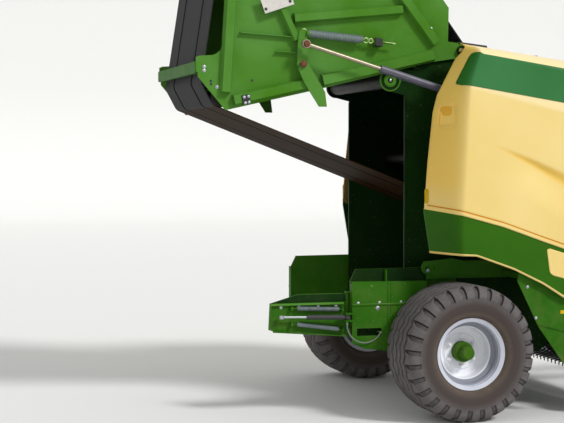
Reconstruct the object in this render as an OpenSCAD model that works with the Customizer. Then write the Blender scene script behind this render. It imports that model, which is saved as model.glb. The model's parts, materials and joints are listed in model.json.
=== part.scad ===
// Round baler, parked on its two wheels and the drawbar jack, with the tailgate raised.
// X points forward to the tractor, Y to the left and Z up. The ground is at zero height.
// Places in a side view are [x, z] pairs, with x counted from the main axle.

/* [Wheels] */
// Outer diameter of a main tyre
tyre_od = 930; // [900:5:960]
// Width of a main tyre
tyre_w = 500; // [440:5:520]
// Diameter over the flanges of the main rim
rim_d = 490; // [470:2:500]
// Distance between the centres of the two main wheels
track_w = 2120; // [2100:5:2160]
// Pitch circle of the six wheel studs
stud_pcd = 205; // [190:5:220]
// Outer diameter of a pickup gauge wheel
gauge_od = 380; // [340:5:400]
// Width of a pickup gauge wheel
gauge_w = 110; // [90:5:120]

/* [Bale chamber] */
// Clear width between the chamber walls
chamber_w = 1230; // [1210:5:1250]
// Thickness of the sheet of the chamber walls
wall_t = 8; // [6:1:10]
// Radius of the steel rollers under the chamber
floor_roller_r = 100; // [80:5:105]
// Thickness of the baling belts
belt_t = 8; // [6:1:10]
// Clear space between two belts
belt_gap = 12; // [8:1:20]

/* [Tailgate] */
// Distance of the pivot ahead of the axle
pivot_x = 170; // [160:5:180]
// Height of the pivot above the ground
pivot_z = 2550; // [2540:5:2560]
// Running space between a chamber wall and a tailgate wall
gate_gap = 17; // [15:1:20]
// Thickness of the sheet of the tailgate walls
gate_t = 8; // [6:1:10]
// Depth of the pressed ribs on a tailgate wall
rib_h = 45; // [30:5:50]
// Radius of the pivot pins
pivot_pin_r = 35; // [25:1:40]

/* [Side covers] */
// Distance of a cover's outer skin from the middle
cover_y = 1200; // [1180:5:1220]
// Thickness of the moulded skin
cover_t = 10; // [8:1:14]

/* [Pickup] */
// Width of the pickup over its side plates
pickup_w = 2110; // [2060:10:2120]
// Radius of the circle that the tine tips run on
tine_r = 300; // [280:5:305]
// Radius of the stripper bands
band_r = 225; // [215:5:235]
// Spacing of the tines along the reel
tine_pitch = 66; // [60:2:80]
// Rows of tines round the reel
tine_rows = 5; // [4:1:6]

/* [Drawbar] */
// Distance of the towing eye ahead of the axle
eye_x = 3350; // [3250:10:3450]
// Height of the towing eye
eye_z = 560; // [520:10:600]
// Bore of the towing eye
eye_d = 40; // [30:1:50]
// Bore of the yoke that takes the tractor's splined shaft
yoke_d = 35; // [30:0.5:40]

/* [Hidden] */
$fn = 48;

// Clearance that lets a pin turn in its bore, and a piece lie against its seat
run_gap = 0.05;
seat_gap = 0.3;
slide_gap = 0.5;

// Outer face and thickness of the wheel disc, counted from the middle of the wheel
disc_z = 16;
disc_t = 10;
hub_r = 70;
hub_cap_r = 45;

// Places that several pieces share
axle_z = tyre_od / 2;
wheel_y = track_w / 2;
pivot = [pivot_x, pivot_z];
wall_in = chamber_w / 2;
wall_out = wall_in + wall_t;
gate_in = wall_out + gate_gap;
gate_out = gate_in + gate_t;
belt_half = wall_in - 15;
gate_beam_x = -1765;
gate_beam_z = 2370;
gate_beam_h = 70;
eye_r = 45;
axle_x = -(eye_x + eye_r + gate_beam_x) / 2;

// Rollers that carry the belts, as [x, z, radius]
roll_front = [352, 1483, 90];
roll_top = [760, 2120, 70];
roll_pivot = [pivot[0], pivot[1], 42];
roll_gate_top = [-606, 3549, 80];
roll_gate_back = [-1450, 3460, 80];
roll_gate_rear = [-1652, 2313, 55];
roll_gate_low = [-1590, 2198, 55];
gate_belt_lift = belt_t + 6;
roll_pivot_gate = [pivot[0], pivot[1], roll_pivot[2] + gate_belt_lift];

// Steel rollers of the chamber, as [x, z, radius]
floor_rollers = [[-140, 710, floor_roller_r], [180, 620, floor_roller_r], [560, 1130, 110]];

// Roller in the upper rear corner of the chamber walls, and the arm that tensions the belts
roll_rear = [-356, 2333, 55];
arm_roller = [65, 1778, 40];
arm_pin = [520, 1900];

// Lift cylinder: its foot on the chamber wall, its eye on the tailgate lever, its distance from the middle
lift_foot = [400, 2140];
lift_eye = [-1018, 2564];
lift_y = 775;
lift_barrel_l = 920;
lift_barrel_r = 27;
lift_rod_r = 14;

// Pickup: hinge, reel centre and gauge wheel centre
pick_pin = [820, 840];
reel_c = [1300, 430];
gauge_c = [1085, 235];
side_y = pickup_w / 2;

// Side boxes beside the tyres: their outer face, their depth and the thickness of their plates
box_out = wheel_y - tyre_w / 2 - 16;
box_in = box_out - 59;
box_t = 8;

// Bale guide flap: its inner face, its upright hinge pin and the two ends of its cylinder, on the right
flap_in = box_in - 15;
flap_pin = [-705, -flap_in - 4];
flap_foot = [-725, -box_out - 6, 690];
flap_eye = [-1190, 19 - box_out, 700];

// Hose from the flap's cylinder to the side box: middle, radius and ends of its loop, and its own radius
hose_c = [-605, 641];
hose_loop_r = 130;
hose_a0 = -180;
hose_a1 = -28;
hose_r = 5;
hose_y = -box_out - 24;

// Drive shaft: end of the gearbox stub, joint behind it, and the yoke at the tractor's end
stub_end = 1620;
stub_z = 1160;
shaft_foot = [1680, 0, stub_z];
shaft_tip = [eye_x - 390, 0, 805];
shaft_end_r = 30;

// Hinge line of the left side cover
hinge_a = [110, 770, 2545];
hinge_b = [1260, 770, 2398];
hinge_r = 12;

// Eye of the lug plate over the wheel
lug_eye = [-130, 1018];

rotor_c = [630, 640];
rotor_r = 235;

rail_y = 690;
rail_w = 80;
rail_z = 940;
rail_h = 120;
rail_front = 1500;

// Points on an arc in the x-z plane
function arc(c, r, a0, a1, n) =
    [for (i = [0:n]) let (a = a0 + (a1 - a0) * i / n) [c[0] + r * cos(a), c[1] + r * sin(a)]];

// Outline of a straight bar of width w between two points
function bar(a, b, w) =
    let (d = b - a, n = [-d[1], d[0]] / norm(d) * w / 2) [a + n, b + n, b - n, a - n];

// Unit normal to the left of the line from a to b
function left_of(a, b) = let (d = b - a) [-d[1], d[0]] / norm(d);

// Point of a bent sheet's second face: point i of path p moved by t along the mitre
function mitre(p, i, t) =
    let (last = len(p) - 1,
         n0 = left_of(p[max(i - 1, 0)], p[max(i, 1)]),
         n1 = left_of(p[min(i, last - 1)], p[min(i + 1, last)]),
         m = n0 + n1)
    p[i] + m * t * 2 / (m * m);

// Outline of a sheet of thickness t bent along the path p, thickened to the left
function sheet(p, t) =
    concat(p, [for (i = [len(p) - 1:-1:0]) mitre(p, i, t)]);

// Angle of the normal at which a belt on the right-hand side runs from roller a to roller b
function run_angle(a, b) =
    let (d = [b[0] - a[0], b[1] - a[1]])
    atan2(d[1], d[0]) - acos((a[2] - b[2]) / norm(d));

// Angle a raised by whole turns until it is not less than b
function above(a, b) = a < b ? above(a + 360, b) : a;

// Belt path over rollers rs, lifted by e from their skin, entering at angle a0 and leaving at a1
function over(rs, e, a0, a1) =
    [for (i = [0:len(rs) - 1])
        let (from = i == 0 ? a0 : run_angle(rs[i - 1], rs[i]),
             to = above(i == len(rs) - 1 ? a1 : run_angle(rs[i], rs[i + 1]), from),
             steps = max(1, ceil((to - from) / 6)))
        each arc([rs[i][0], rs[i][1]], rs[i][2] + e, from, to, steps)];

// Closed outline of a belt that runs over rollers rs
function belt(rs, a0, a1) =
    let (inner = over(rs, seat_gap, a0, a1), outer = over(rs, belt_t, a0, a1), n = len(outer))
    concat(inner, [for (i = [n - 1:-1:0]) outer[i]]);

// Extrudes an x-z outline across the machine, from y to y + t
module slab(points, y, t)
    translate([0, y + t, 0]) rotate([90, 0, 0]) linear_extrude(t) polygon(points);

// Round bar across the machine
module rod_y(c, r, y0, y1)
    translate([c[0], y1, c[1]]) rotate([90, 0, 0]) cylinder(r = r, h = y1 - y0);

// Block from the corner a to the corner b
module block(a, b) translate(a) cube(b - a);

// Round bar between two points in space
module strut(a, b, r) {
    d = b - a;
    translate(a) rotate([0, acos(d[2] / norm(d)), atan2(d[1], d[0])]) cylinder(r = r, h = norm(d));
}

// Draws its children on the left and, mirrored, on the right
module both_sides() {
    children();
    mirror([0, 1, 0]) children();
}

module from_axle() translate([axle_x, 0, 0]) children();

// Widths of the three belts, as shares of what the gaps leave
belt_shares = [0.25, 0.5, 0.25];
belt_room = 2 * belt_half - 2 * belt_gap;
function belt_start(i) = i == 0 ? -belt_half : belt_start(i - 1) + belt_shares[i - 1] * belt_room + belt_gap;

module belts(outline)
    for (i = [0:2]) slab(outline, belt_start(i), belt_shares[i] * belt_room);

// Chassis

module chassis_frame() color("darkgreen") from_axle() {
    both_sides() {
        block([-130, rail_y, rail_z], [rail_front, rail_y + rail_w, rail_z + rail_h]);
        slab([[-110, rail_z], [110, rail_z], [80, axle_z + 60], [-80, axle_z + 60]], rail_y + 10, 12);
        difference() {
            slab(concat([[-60, rail_z + 20]], arc(lug_eye, 46, 240, 90, 8), [[60, rail_z + 142], [260, rail_z + 90],
                        [260, rail_z + 20]]), rail_y + rail_w, 12);
            rod_y(lug_eye, 17, rail_y, rail_y + 120);
        }
        rod_y([lug_eye[0] + 62, lug_eye[1] + 4], 14, rail_y + rail_w, rail_y + rail_w + 24);
        difference() {
            slab(concat([[pick_pin[0] - 70, rail_z], [pick_pin[0] - 40, pick_pin[1]]],
                        arc(pick_pin, 45, 190, 350, 8), [[pick_pin[0] + 70, rail_z]]), 780, 14);
            rod_y(pick_pin, 20 + run_gap, 700, 900);
        }
        block([pick_pin[0] - 70, rail_y, rail_z], [pick_pin[0] + 70, 794, rail_z + 30]);
        for (x = [-100, 300, 900]) block([x, wall_out, rail_z + 20], [x + 60, rail_y, rail_z + 80]);
    }
    block([rail_front - 110, -rail_y, rail_z], [rail_front - 10, rail_y, rail_z + rail_h - 20]);
}

module axle() color("darkgreen") from_axle() {
    beam = 60;
    block([-beam, -720, axle_z - beam], [beam, 720, axle_z + beam]);
    both_sides() rod_y([0, axle_z], 45, 720, wheel_y - 140);
}

module drawbar() color("darkgreen") from_axle() {
    beam_w = 80;
    beam_h = 110;
    root_z = rail_z + 50;
    both_sides() difference() {
        hull() {
            translate([rail_front, 380, root_z]) cube([20, beam_w, beam_h], center = true);
            translate([eye_x - 290, 45, eye_z + 30]) cube([20, beam_w, beam_h], center = true);
        }
        block([0, -200, 0], [5000, 0, 2000]);
    }
    difference() {
        union() {
            block([eye_x - 320, -70, eye_z - 35], [eye_x - 30, 70, eye_z + 35]);
            translate([eye_x, 0, eye_z - 20]) cylinder(r = eye_r, h = 40);
            block([eye_x - 60, -40, eye_z - 20], [eye_x, 40, eye_z + 20]);
        }
        translate([eye_x, 0, eye_z - 60]) cylinder(r = eye_d / 2, h = 120);
    }
    block([2330, 150, 590], [2430, 250, 750]);
    strut([2380, 300, 930], [2380, 300, 975], 14);
    strut([2380, 300, 968], [2380, 440, 968], 8);
    strut([2380, 436, 960], [2380, 436, 1060], 11);
    difference() {
        block([2330, 250, 330], [2430, 350, 930]);
        block([2340, 260, 320], [2420, 340, 920]);
    }
    difference() {
        block([shaft_tip[0] - 65, -50, 640], [shaft_tip[0] - 43, 50, 820]);
        strut(shaft_foot, shaft_tip, shaft_end_r + seat_gap);
    }
}

// Chamber

wall_outline = [[-250, 640], [-80, 548], [80, 548], [130, 470], [420, 380], [800, 380], [940, 520], [960, 900],
                [1180, 1060], [1180, 1900], [1000, 2240], [430, 2440], [300, 2520], [250, 2590],
                [100, 2600], [0, 2500], [-180, 2410], each arc([roll_rear[0], roll_rear[1]], 78, 75, 240, 8), [-250, 2230]];

module chamber_wall() color("darkgreen") from_axle() {
    slab(wall_outline, wall_in, wall_t);
    rod_y(pivot, pivot_pin_r, wall_in, gate_out + 30);
    rod_y(lift_foot, 20, wall_in, lift_y + 40);
    slab(bar([-244, 660], [-244, 2220], 12), wall_in, wall_t + 10);
    difference() {
        rod_y(roll_rear, 67, wall_out, wall_out + 10);
        rod_y(roll_rear, 48, wall_out + 4, wall_out + 20);
    }
    rod_y(roll_rear, 20, wall_out, wall_out + 10);
}

module chamber_wall_left() chamber_wall();
module chamber_wall_right() mirror([0, 1, 0]) chamber_wall();

module roller(r3, half, shaft, reach) {
    rod_y(r3, r3[2], -half, half);
    rod_y(r3, shaft, -reach, reach);
}

module chamber_rollers() color("dimgray") from_axle() {
    for (r = concat(floor_rollers, [roll_front, roll_top, roll_pivot, roll_rear, arm_roller]))
        roller(r, belt_half, 25, r == arm_roller ? belt_half + 6 : wall_in);
    roller([arm_pin[0], arm_pin[1], 45], belt_half - 20, 25, wall_in);
    both_sides() slab(concat(arc(arm_roller, 60, 70, 290, 8), [[arm_pin[0], arm_pin[1] - 70]],
                             arc(arm_pin, 70, -60, 60, 6)), belt_half + 2, 10);
}

module front_belts() color([0.16, 0.15, 0.16]) from_axle()
    belts(belt([roll_front, roll_top, roll_pivot], run_angle(roll_gate_low, roll_front),
               run_angle(roll_pivot_gate, roll_gate_top) + 60));

module free_belts() color([0.16, 0.12, 0.09]) from_axle() {
    a = run_angle(roll_gate_low, roll_front);
    n = [cos(a), sin(a)];
    p = [roll_gate_low[0], roll_gate_low[1]] + n * (roll_gate_low[2] + belt_t / 2);
    q = [roll_front[0], roll_front[1]] + n * (roll_front[2] + belt_t / 2);
    u = (q - p) / norm(q - p) * seat_gap;
    belts(bar(p + u, q - u, belt_t - 0.6));
}

module tail_belts() color([0.2, 0.2, 0.21]) from_axle()
    belts(belt([roll_pivot_gate, roll_gate_top, roll_gate_back, roll_gate_rear, roll_gate_low],
               run_angle(roll_pivot_gate, roll_gate_top), run_angle(roll_gate_low, roll_front)));

module gearbox() color("dimgray") from_axle() {
    block([1330, -130, rail_z + rail_h - 20], [stub_end - 60, 130, 1270]);
    strut([stub_end - 60, 0, stub_z], [stub_end, 0, stub_z], 38);
    rod_y([1430, 1160], 45, 130, rail_y);
}

module drive_shaft() color([0.2, 0.2, 0.2]) from_axle() {
    u = (shaft_tip - shaft_foot) / norm(shaft_tip - shaft_foot);
    difference() {
        union() {
            strut([stub_end + seat_gap, 0, stub_z], shaft_foot, 36);
            translate(shaft_foot) sphere(r = 50);
            strut(shaft_foot, shaft_foot + u * 500, 42);
            strut(shaft_foot + u * 499, shaft_tip - u * 129, 36);
            strut(shaft_tip - u * 130, shaft_tip, shaft_end_r);
        }
        strut(shaft_tip - u * 80, shaft_tip + u * 20, yoke_d / 2);
    }
}

hood_path = [[440, 2466], [1240, 2364], [1480, 2110], [1600, 1700], [1625, 1300], [1612, 1230]];
module front_hood() color("khaki") from_axle() {
    slab(sheet([for (i = [len(hood_path) - 1:-1:0]) hood_path[i]], 8), -740, 1480);
    both_sides() {
        strut(hinge_a, hinge_b, hinge_r);
        for (p = [[500, 2080], [850, 2080], [1120, 1880]]) {
            slab(bar(p, [p[0], 2490 - (p[0] - 500) * 0.128], 30), 740, 22);
            block([p[0] - 15, wall_out, p[1]], [p[0] + 15, 740, p[1] + 30]);
        }
    }
}

skirt_y = cover_y - 60;
module skirts() color("darkgreen") from_axle() both_sides() {
    slab([[386, 944], [545, 625], [740, 359], [830, 330], [830, 1010], [400, 1010]], skirt_y, 6);
    for (x = [440, 700]) block([x, rail_y + rail_w, 950], [x + 40, skirt_y, 990]);
}

// Part of a ring of radius r about the place c in a side view, from angle a0 to a1, drawn as a bent round bar
module bent_bar(c, r, a0, a1, y, bar_r)
    translate([c[0], y, c[1]]) rotate([90, 0, 0]) rotate([0, 0, a0])
        rotate_extrude(angle = a1 - a0) translate([r, 0]) circle(r = bar_r, $fn = 16);

// Side boxes behind the wheels: a back plate, a folded front panel with a slot, and end and middle plates
module side_boxes() color("green") from_axle() {
    both_sides() {
        slab([[-690, 540], [-690, 935], [-650, 1016], [-130, 1020], [-130, 620], [-600, 540]], box_in, box_t);
        difference() {
            slab([[-690, 508], [-690, 932], [-142, 926], [-142, 470], [-430, 446], [-600, 466]],
                 box_out - box_t, box_t);
            block([-655, box_out - 20, 556], [-475, box_out + 10, 608]);
        }
        slab([[-690, 924], [-690, 932], [-142, 926], [-142, 918]], box_in, box_out - box_in);
        slab([[-690, 766], [-690, 774], [-142, 774], [-142, 766]], box_in, box_out - box_in + 6);
        for (x = [-690, -434, -150])
            block([x, box_in, 630], [x + box_t, box_out, 920]);
        block([-438, box_in, 926], [-430, box_in + 40, 1010]);
    }
    mirror([0, 1, 0]) for (z = [548, 850 + seat_gap])
        block([flap_pin[0] - 15, flap_in - 12, z], [-682, box_in + 9, z + 12 - seat_gap]);
    for (z = [-29, 19]) translate([flap_foot[0] - 22, flap_foot[1] - 26, flap_foot[2] + z]) cube([65, 48, 10]);
    translate(flap_foot - [0, 0, 26]) cylinder(r = 10, h = 52);
    hose_end = hose_c + hose_loop_r * [cos(hose_a1), sin(hose_a1)];
    bent_bar(hose_c, hose_loop_r, hose_a0, hose_a1, hose_y, hose_r);
    translate([hose_c[0] - hose_loop_r, hose_y, hose_c[1] - 5]) cylinder(r = hose_r + 3, h = flap_foot[2] - 22 - hose_c[1]);
    translate([hose_end[0], hose_y, hose_end[1]]) sphere(r = hose_r + 3);
    strut([hose_end[0], hose_y, hose_end[1]], [hose_end[0], 4 - box_in, hose_end[1]], hose_r + 1);
}

// Sprockets, each [x, z, pitch radius, teeth], and the chains that join them
sprocket_top = [352, 1483, 80, 18];
sprocket_mid = [560, 1130, 90, 20];
sprocket_low = [630, 640, 140, 30];
chain_h = 16;
chain_y = wall_out + 20;

function sprocket_outline(s) = [for (i = [0:4 * s[3] - 1])
    let (r = s[2] + (i % 4 < 2 ? 5 : -7), a = (i + (i % 4 == 0 ? 0.35 : i % 4 == 1 ? -0.35 : 0)) * 90 / s[3])
    [s[0] + r * cos(a), s[1] + r * sin(a)]];

function loop(rs, e) = over(rs, e, run_angle(rs[1], rs[0]), run_angle(rs[1], rs[0]));

module chain(a, b, y) difference() {
    slab(loop([a, b], chain_h), y, 14);
    slab(loop([a, b], 6), y - 5, 24);
}

module chain_drive() color("dimgray") from_axle() {
    slab(sprocket_outline(sprocket_top), chain_y, 10);
    slab(sprocket_outline(sprocket_mid), chain_y, 30);
    slab(sprocket_outline(sprocket_low), chain_y + 20, 10);
    rod_y(sprocket_top, 24, wall_out, chain_y + 14);
    rod_y(sprocket_mid, 24, wall_out, chain_y + 34);
    rod_y(sprocket_low, 30, wall_out, chain_y + 34);
    chain(sprocket_top, sprocket_mid, chain_y - 2);
    chain(sprocket_mid, sprocket_low, chain_y + 18);
}

module intake() color("darkgreen") from_axle() {
    slab(concat(arc(rotor_c, rotor_r + 22, 205, 320, 16), arc(rotor_c, rotor_r + 30, 320, 205, 16)),
         -wall_in, chamber_w);
}

// Tailgate, drawn raised

gate_outline = concat(
    [[-1552, 2112], [-878, 2265], [-40, 2467], [110, 2490]],
    arc(pivot, 62, -60, 120, 10),
    [[70, 2612], [75, 2850], [34, 2903], [-587, 3676], [-1058, 3692], [-1440, 3560], [-1500, 3440], [-1530, 2860],
     [-1572, 2575]],
    arc([-1660, 2572], 88, 0, -80, 6),
    [[-1735, 2480], [gate_beam_x + 8.3, 2470],
     [gate_beam_x + 8.3, gate_beam_z + seat_gap], [-1745, gate_beam_z + seat_gap], [-1745, 2340]]);

// Folded channel of width w that stands on a tailgate wall, with open ends
module rib(a, b, w) {
    d = b - a;
    t = 5;
    s = 14;
    translate([a[0], gate_out, a[1]]) rotate([0, -atan2(d[1], d[0]), 0]) rotate([90, 0, 90])
        linear_extrude(norm(d)) polygon([[0, -w / 2], [rib_h, s - w / 2], [rib_h, w / 2 - s], [0, w / 2],
                                         [0, w / 2 - t], [rib_h - t, w / 2 - s - t / 2],
                                         [rib_h - t, s + t / 2 - w / 2], [0, t - w / 2]]);
}

// Ribs of a tailgate wall, each [one end, other end, width]
gate_ribs = [[[-1556, 2235], [-1516, 2880], 84], [[-1516, 2880], [-1450, 3420], 84],
             [[-1500, 2180], [-990, 2296], 84], [[-868, 2322], [-48, 2512], 90],
             [[-1330, 3180], [-1054, 2600], 66], [[-1072, 2746], [-285, 2826], 76],
             [[-560, 3280], [-30, 2600], 84], [[-1350, 3440], [-640, 3560], 76]];

module tailgate_wall() color("forestgreen") from_axle() difference() {
    union() {
        slab(gate_outline, gate_in, gate_t);
        for (r = gate_ribs) rib(r[0], r[1], r[2]);
        for (f = [[[-1454, 2641], [-1062, 2617]], [[-1202, 2517], [-1064, 2512]]])
            slab(bar(f[0], f[1], 6), gate_out, 32);
    }
    rod_y(pivot, pivot_pin_r + run_gap, gate_in - 10, gate_out + 60);
}

module tailgate_wall_left() tailgate_wall();
module tailgate_wall_right() mirror([0, 1, 0]) tailgate_wall();

module tailgate_beams() color("darkgreen") from_axle() {
    block([gate_beam_x, -gate_out, gate_beam_z], [gate_beam_x + 8, gate_out, gate_beam_z + gate_beam_h]);
    block([gate_beam_x, -gate_in, gate_beam_z - 8], [gate_beam_x + 32, gate_in, gate_beam_z]);
    rod_y([-1060, 3400], 45, -gate_in, gate_in);
    rod_y([-330, 3000], 45, -gate_in, gate_in);
}

module tailgate_rollers() color("dimgray") from_axle()
    for (r = [roll_gate_low, roll_gate_rear, roll_gate_back, roll_gate_top])
        roller(r, belt_half, 25, gate_in);

// Lock lever: a dog-leg plate on a pin, the hook plate behind it, and the spring that pulls the lever shut
lever_pin = [-1021, 2431];
lever_top = [-1018, 2640];
spring_a = [-993, 2643];
spring_b = [-620, 2609];
module lock() color("green") from_axle() {
    y = gate_out + rib_h;
    slab(concat(arc(lever_top, 30, 0, 180, 8), [[lever_pin[0] - 34, 2560]], arc(lever_pin, 40, 180, 360, 8),
                [[lever_pin[0] + 34, 2560]]), y, 12);
    slab([[-1056, 2400], [-1010, 2300], [-905, 2140], [-850, 2140], [-862, 2240], [-918, 2330], [-985, 2440],
          [-1040, 2440]], y + 12, 10);
    rod_y(lever_pin, 22, gate_out, y + 34);
    block([-500, gate_out, 2570], [-480, y + 20, 2622]);
    strut([spring_a[0], y + 6, spring_a[1]], [spring_b[0], y + 6, spring_b[1]], 24);
    strut([spring_b[0], y + 6, spring_b[1]], [-366, y + 6, 2583], 7);
}

module lock_left() lock();
module lock_right() mirror([0, 1, 0]) lock();

lift_d = [lift_eye[0] - lift_foot[0], lift_eye[1] - lift_foot[1]];
lift_l = norm(lift_d);
lift_u = [lift_d[0] / lift_l, 0, lift_d[1] / lift_l];
lift_foot3 = [lift_foot[0], lift_y, lift_foot[1]];

module lift_barrel() color([0.42, 0.41, 0.47]) from_axle() difference() {
    union() {
        strut(lift_foot3 + lift_u * 30, lift_foot3 + lift_u * lift_barrel_l, lift_barrel_r);
        rod_y(lift_foot, 38, lift_y - 25, lift_y + 25);
    }
    rod_y(lift_foot, 20 + run_gap, lift_y - 100, lift_y + 100);
    strut(lift_foot3 + lift_u * 300, lift_foot3 + lift_u * (lift_barrel_l + 10), lift_rod_r + run_gap);
}

module lift_rod() color("silver") from_axle() {
    strut(lift_foot3 + lift_u * 760, lift_foot3 + lift_u * (lift_l - 20), lift_rod_r);
    rod_y(lift_eye, 30, lift_y - 18, lift_y + 18);
}

module lift_barrel_left() lift_barrel();
module lift_barrel_right() mirror([0, 1, 0]) lift_barrel();
module lift_rod_left() lift_rod();
module lift_rod_right() mirror([0, 1, 0]) lift_rod();

// Side cover, a moulded skin drawn as a grid of points: columns run from the rear edge to the front
// edge, rows from the bottom edge to the top edge. Tables give [height, distance ahead of the axle]
cover_rear = [[1129, -163], [1414, -210], [1743, -186], [2100, -148], [2222, -117], [2401, -19], [2568, 76]];
cover_crease = [[1129, -20], [1395, -25], [1884, 2], [2275, 22], [2490, 90], [2568, 118]];
cover_front = [[1129, 1500], [2568, 1230]];
// Edges along the machine, as [distance ahead of the axle, height]
cover_bottom = [[-163, 1129], [69, 1119], [344, 1022], [561, 918], [717, 821], [1100, 720], [1500, 690]];
cover_border = [[-209, 1440], [-42, 1402], [261, 1321], [559, 1217], [714, 1165], [1500, 900]];
cover_swoosh = [[-200, 1960], [197, 1870], [320, 1828], [458, 1758], [706, 1615], [1500, 1160]];
// How far the rear part turns in behind the crease, the front edge turns in, and the top edge turns in
turn_rear = 290;
turn_front = 130;
turn_top = 400;
swoosh_d = 30;
border_d = 10;
handle_d = 28;

// How soft the crease is: the turn-in follows a hyperbola that starts level and ends straight
crease_soft = 0.2;
function eased(r) = (sqrt(r * r + crease_soft) - sqrt(crease_soft)) / (sqrt(1 + crease_soft) - sqrt(crease_soft));

// Columns: shares of the way from the rear edge to the crease, then from the crease to the front edge
rear_cols = [0, 0.08, 0.14, 0.46, 0.54, 0.72, 0.88];
front_cols = [0, 0.04, 0.12, 0.24, 0.36, 0.5, 0.64, 0.78, 0.88, 0.95, 1];
// Rows: shares of the way from the bottom edge to the border line, from there to the swoosh, and on to the top
lower_rows = [0, 0.5, 0.985];
middle_rows = [0, 0.35, 0.7, 0.86, 0.97];
upper_rows = [0, 0.03, 0.06, 0.26, 0.3, 0.45, 0.6, 0.74, 0.83, 0.9, 0.95, 0.98, 1];
cover_nu = len(rear_cols) + len(front_cols);
cover_nv = len(lower_rows) + len(middle_rows) + len(upper_rows);

function lerp(a, b, t) = a + (b - a) * t;
function bump(x, a, b, c, d) = x <= a || x >= d ? 0 : x < b ? (x - a) / (b - a) : x > c ? (d - x) / (d - c) : 1;
function cover_top(x) = hinge_a[2] + 38 - (hinge_a[2] - hinge_b[2]) * (x - hinge_a[0]) / (hinge_b[0] - hinge_a[0]);
function nominal_z(j) = lerp(cover_rear[0][0], cover_rear[len(cover_rear) - 1][0], j / (cover_nv - 1));
function cover_x(i, z) =
    i < len(rear_cols) ? lerp(lookup(z, cover_rear), lookup(z, cover_crease), rear_cols[i])
                       : lerp(lookup(z, cover_crease), lookup(z, cover_front), front_cols[i - len(rear_cols)]);
function cover_row_z(j, x) =
    let (k = j - len(lower_rows), m = k - len(middle_rows),
         b = lookup(x, cover_border), s = lookup(x, cover_swoosh))
    j < len(lower_rows) ? lerp(lookup(x, cover_bottom), b, lower_rows[j])
    : k < len(middle_rows) ? lerp(b, s, middle_rows[k]) : lerp(s, cover_top(x), upper_rows[m]);
function cover_point(i, j, inset) =
    let (z0 = cover_row_z(j, cover_x(i, nominal_z(j))),
         x = cover_x(i, z0),
         z = cover_row_z(j, x),
         rear = i < len(rear_cols) ? eased(1 - rear_cols[i]) : 0,
         q = i < len(rear_cols) ? 0 : front_cols[i - len(rear_cols)],
         front = max(0, (q - 0.78) / 0.22),
         m = j - len(lower_rows) - len(middle_rows),
         v = m < 0 ? 0 : upper_rows[m],
         top = max(0, (v - 0.83) / 0.17),
         below = m < 0 && j >= len(lower_rows) ? middle_rows[j - len(lower_rows)] : 0,
         scoop = m > 0 && m < 5 && i > 0 && i < 5 ? bump(v, 0.03, 0.06, 0.26, 0.3) * bump(i, 1, 2, 3, 4) : 0)
    [x + 0.8 * inset * min(1, 3 * rear), cover_y - inset - turn_rear * rear * (1 - 0.6 * top) - turn_front * front * front * (1 - top)
        - turn_top * pow(top, 2.5) * (1 - 0.45 * rear)
        - swoosh_d * min(1, max(0, (x - 180) / 500)) * max(0, (below - 0.5) / 0.47)
        - (j < len(lower_rows) ? border_d : 0) - handle_d * scoop,
     z - inset * min(1, 2 * top)];

module cover() color("khaki") from_axle() {
    outer = [for (j = [0:cover_nv - 1], i = [0:cover_nu - 1]) cover_point(i, j, 0)];
    inner = [for (j = [0:cover_nv - 1], i = [0:cover_nu - 1]) cover_point(i, j, cover_t)];
    w = cover_nu;
    n = w * cover_nv;
    top = (cover_nv - 1) * w;
    faces = concat(
        [for (j = [0:cover_nv - 2], i = [0:w - 2]) let (a = j * w + i) each
            [[a, a + 1, a + w + 1], [a, a + w + 1, a + w],
             [n + a, n + a + w + 1, n + a + 1], [n + a, n + a + w, n + a + w + 1]]],
        [for (i = [0:w - 2]) each
            [[i, n + i, n + i + 1], [i, n + i + 1, i + 1],
             [top + i, top + i + 1, n + top + i + 1], [top + i, n + top + i + 1, n + top + i]]],
        [for (j = [0:cover_nv - 2]) let (a = j * w, b = j * w + w - 1) each
            [[a, a + w, n + a + w], [a, n + a + w, n + a],
             [b, n + b, n + b + w], [b, n + b + w, b + w]]]);
    u = (hinge_b - hinge_a) / norm(hinge_b - hinge_a);
    polyhedron(concat(outer, inner), faces);
    for (x = [300, 680, 1000]) {
        c = hinge_a + u * (x - hinge_a[0]) / u[0];
        difference() {
            union() {
                strut(c - u * 15, c + u * 15, 20);
                translate([x - 12, 776, c[2] + 6]) cube([24, 24, 36]);
            }
            strut(c - u * 30, c + u * 30, hinge_r + seat_gap);
        }
    }
}

module cover_left() cover();
module cover_right() mirror([0, 1, 0]) cover();

// Pickup

module pickup_frame() color("darkgreen") from_axle() {
    both_sides() {
        difference() {
            slab(concat(arc(reel_c, 250, -130, 60, 14), [[1120, 800], [990, 870], [940, 800], [1000, 500]]),
                 side_y - 10, 10);
            rod_y(reel_c, 30 + run_gap, side_y - 30, side_y + 30);
        }
        slab(bar([1040, 810], [pick_pin[0], pick_pin[1]], 70), 800, 14);
        rod_y(pick_pin, 20, 780, 830);
        slab(bar([1040, 480], gauge_c, 50), side_y, 12);
        rod_y(gauge_c, 15, side_y, side_y + 15 + gauge_w);
    }
    rod_y([1040, 810], 45, -side_y + 10, side_y - 10);
}

band_outline = concat(arc(reel_c, band_r, -100, 90, 18), [[1075, reel_c[1] + band_r + 5]],
                      [[1075, reel_c[1] + band_r - 1]], arc(reel_c, band_r - 6, 90, -100, 18));
bands = floor((pickup_w - 60) / tine_pitch);
function band_y(i) = (i - bands / 2) * tine_pitch;

module pickup_bands() color("silver") from_axle()
    union() {
        for (i = [0:bands - 1]) slab(band_outline, band_y(i) + 9, tine_pitch - 18);
        block([1067, -side_y + 10, reel_c[1] + band_r - 13], [1075, side_y - 10, reel_c[1] + band_r + 5]);
    }

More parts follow.
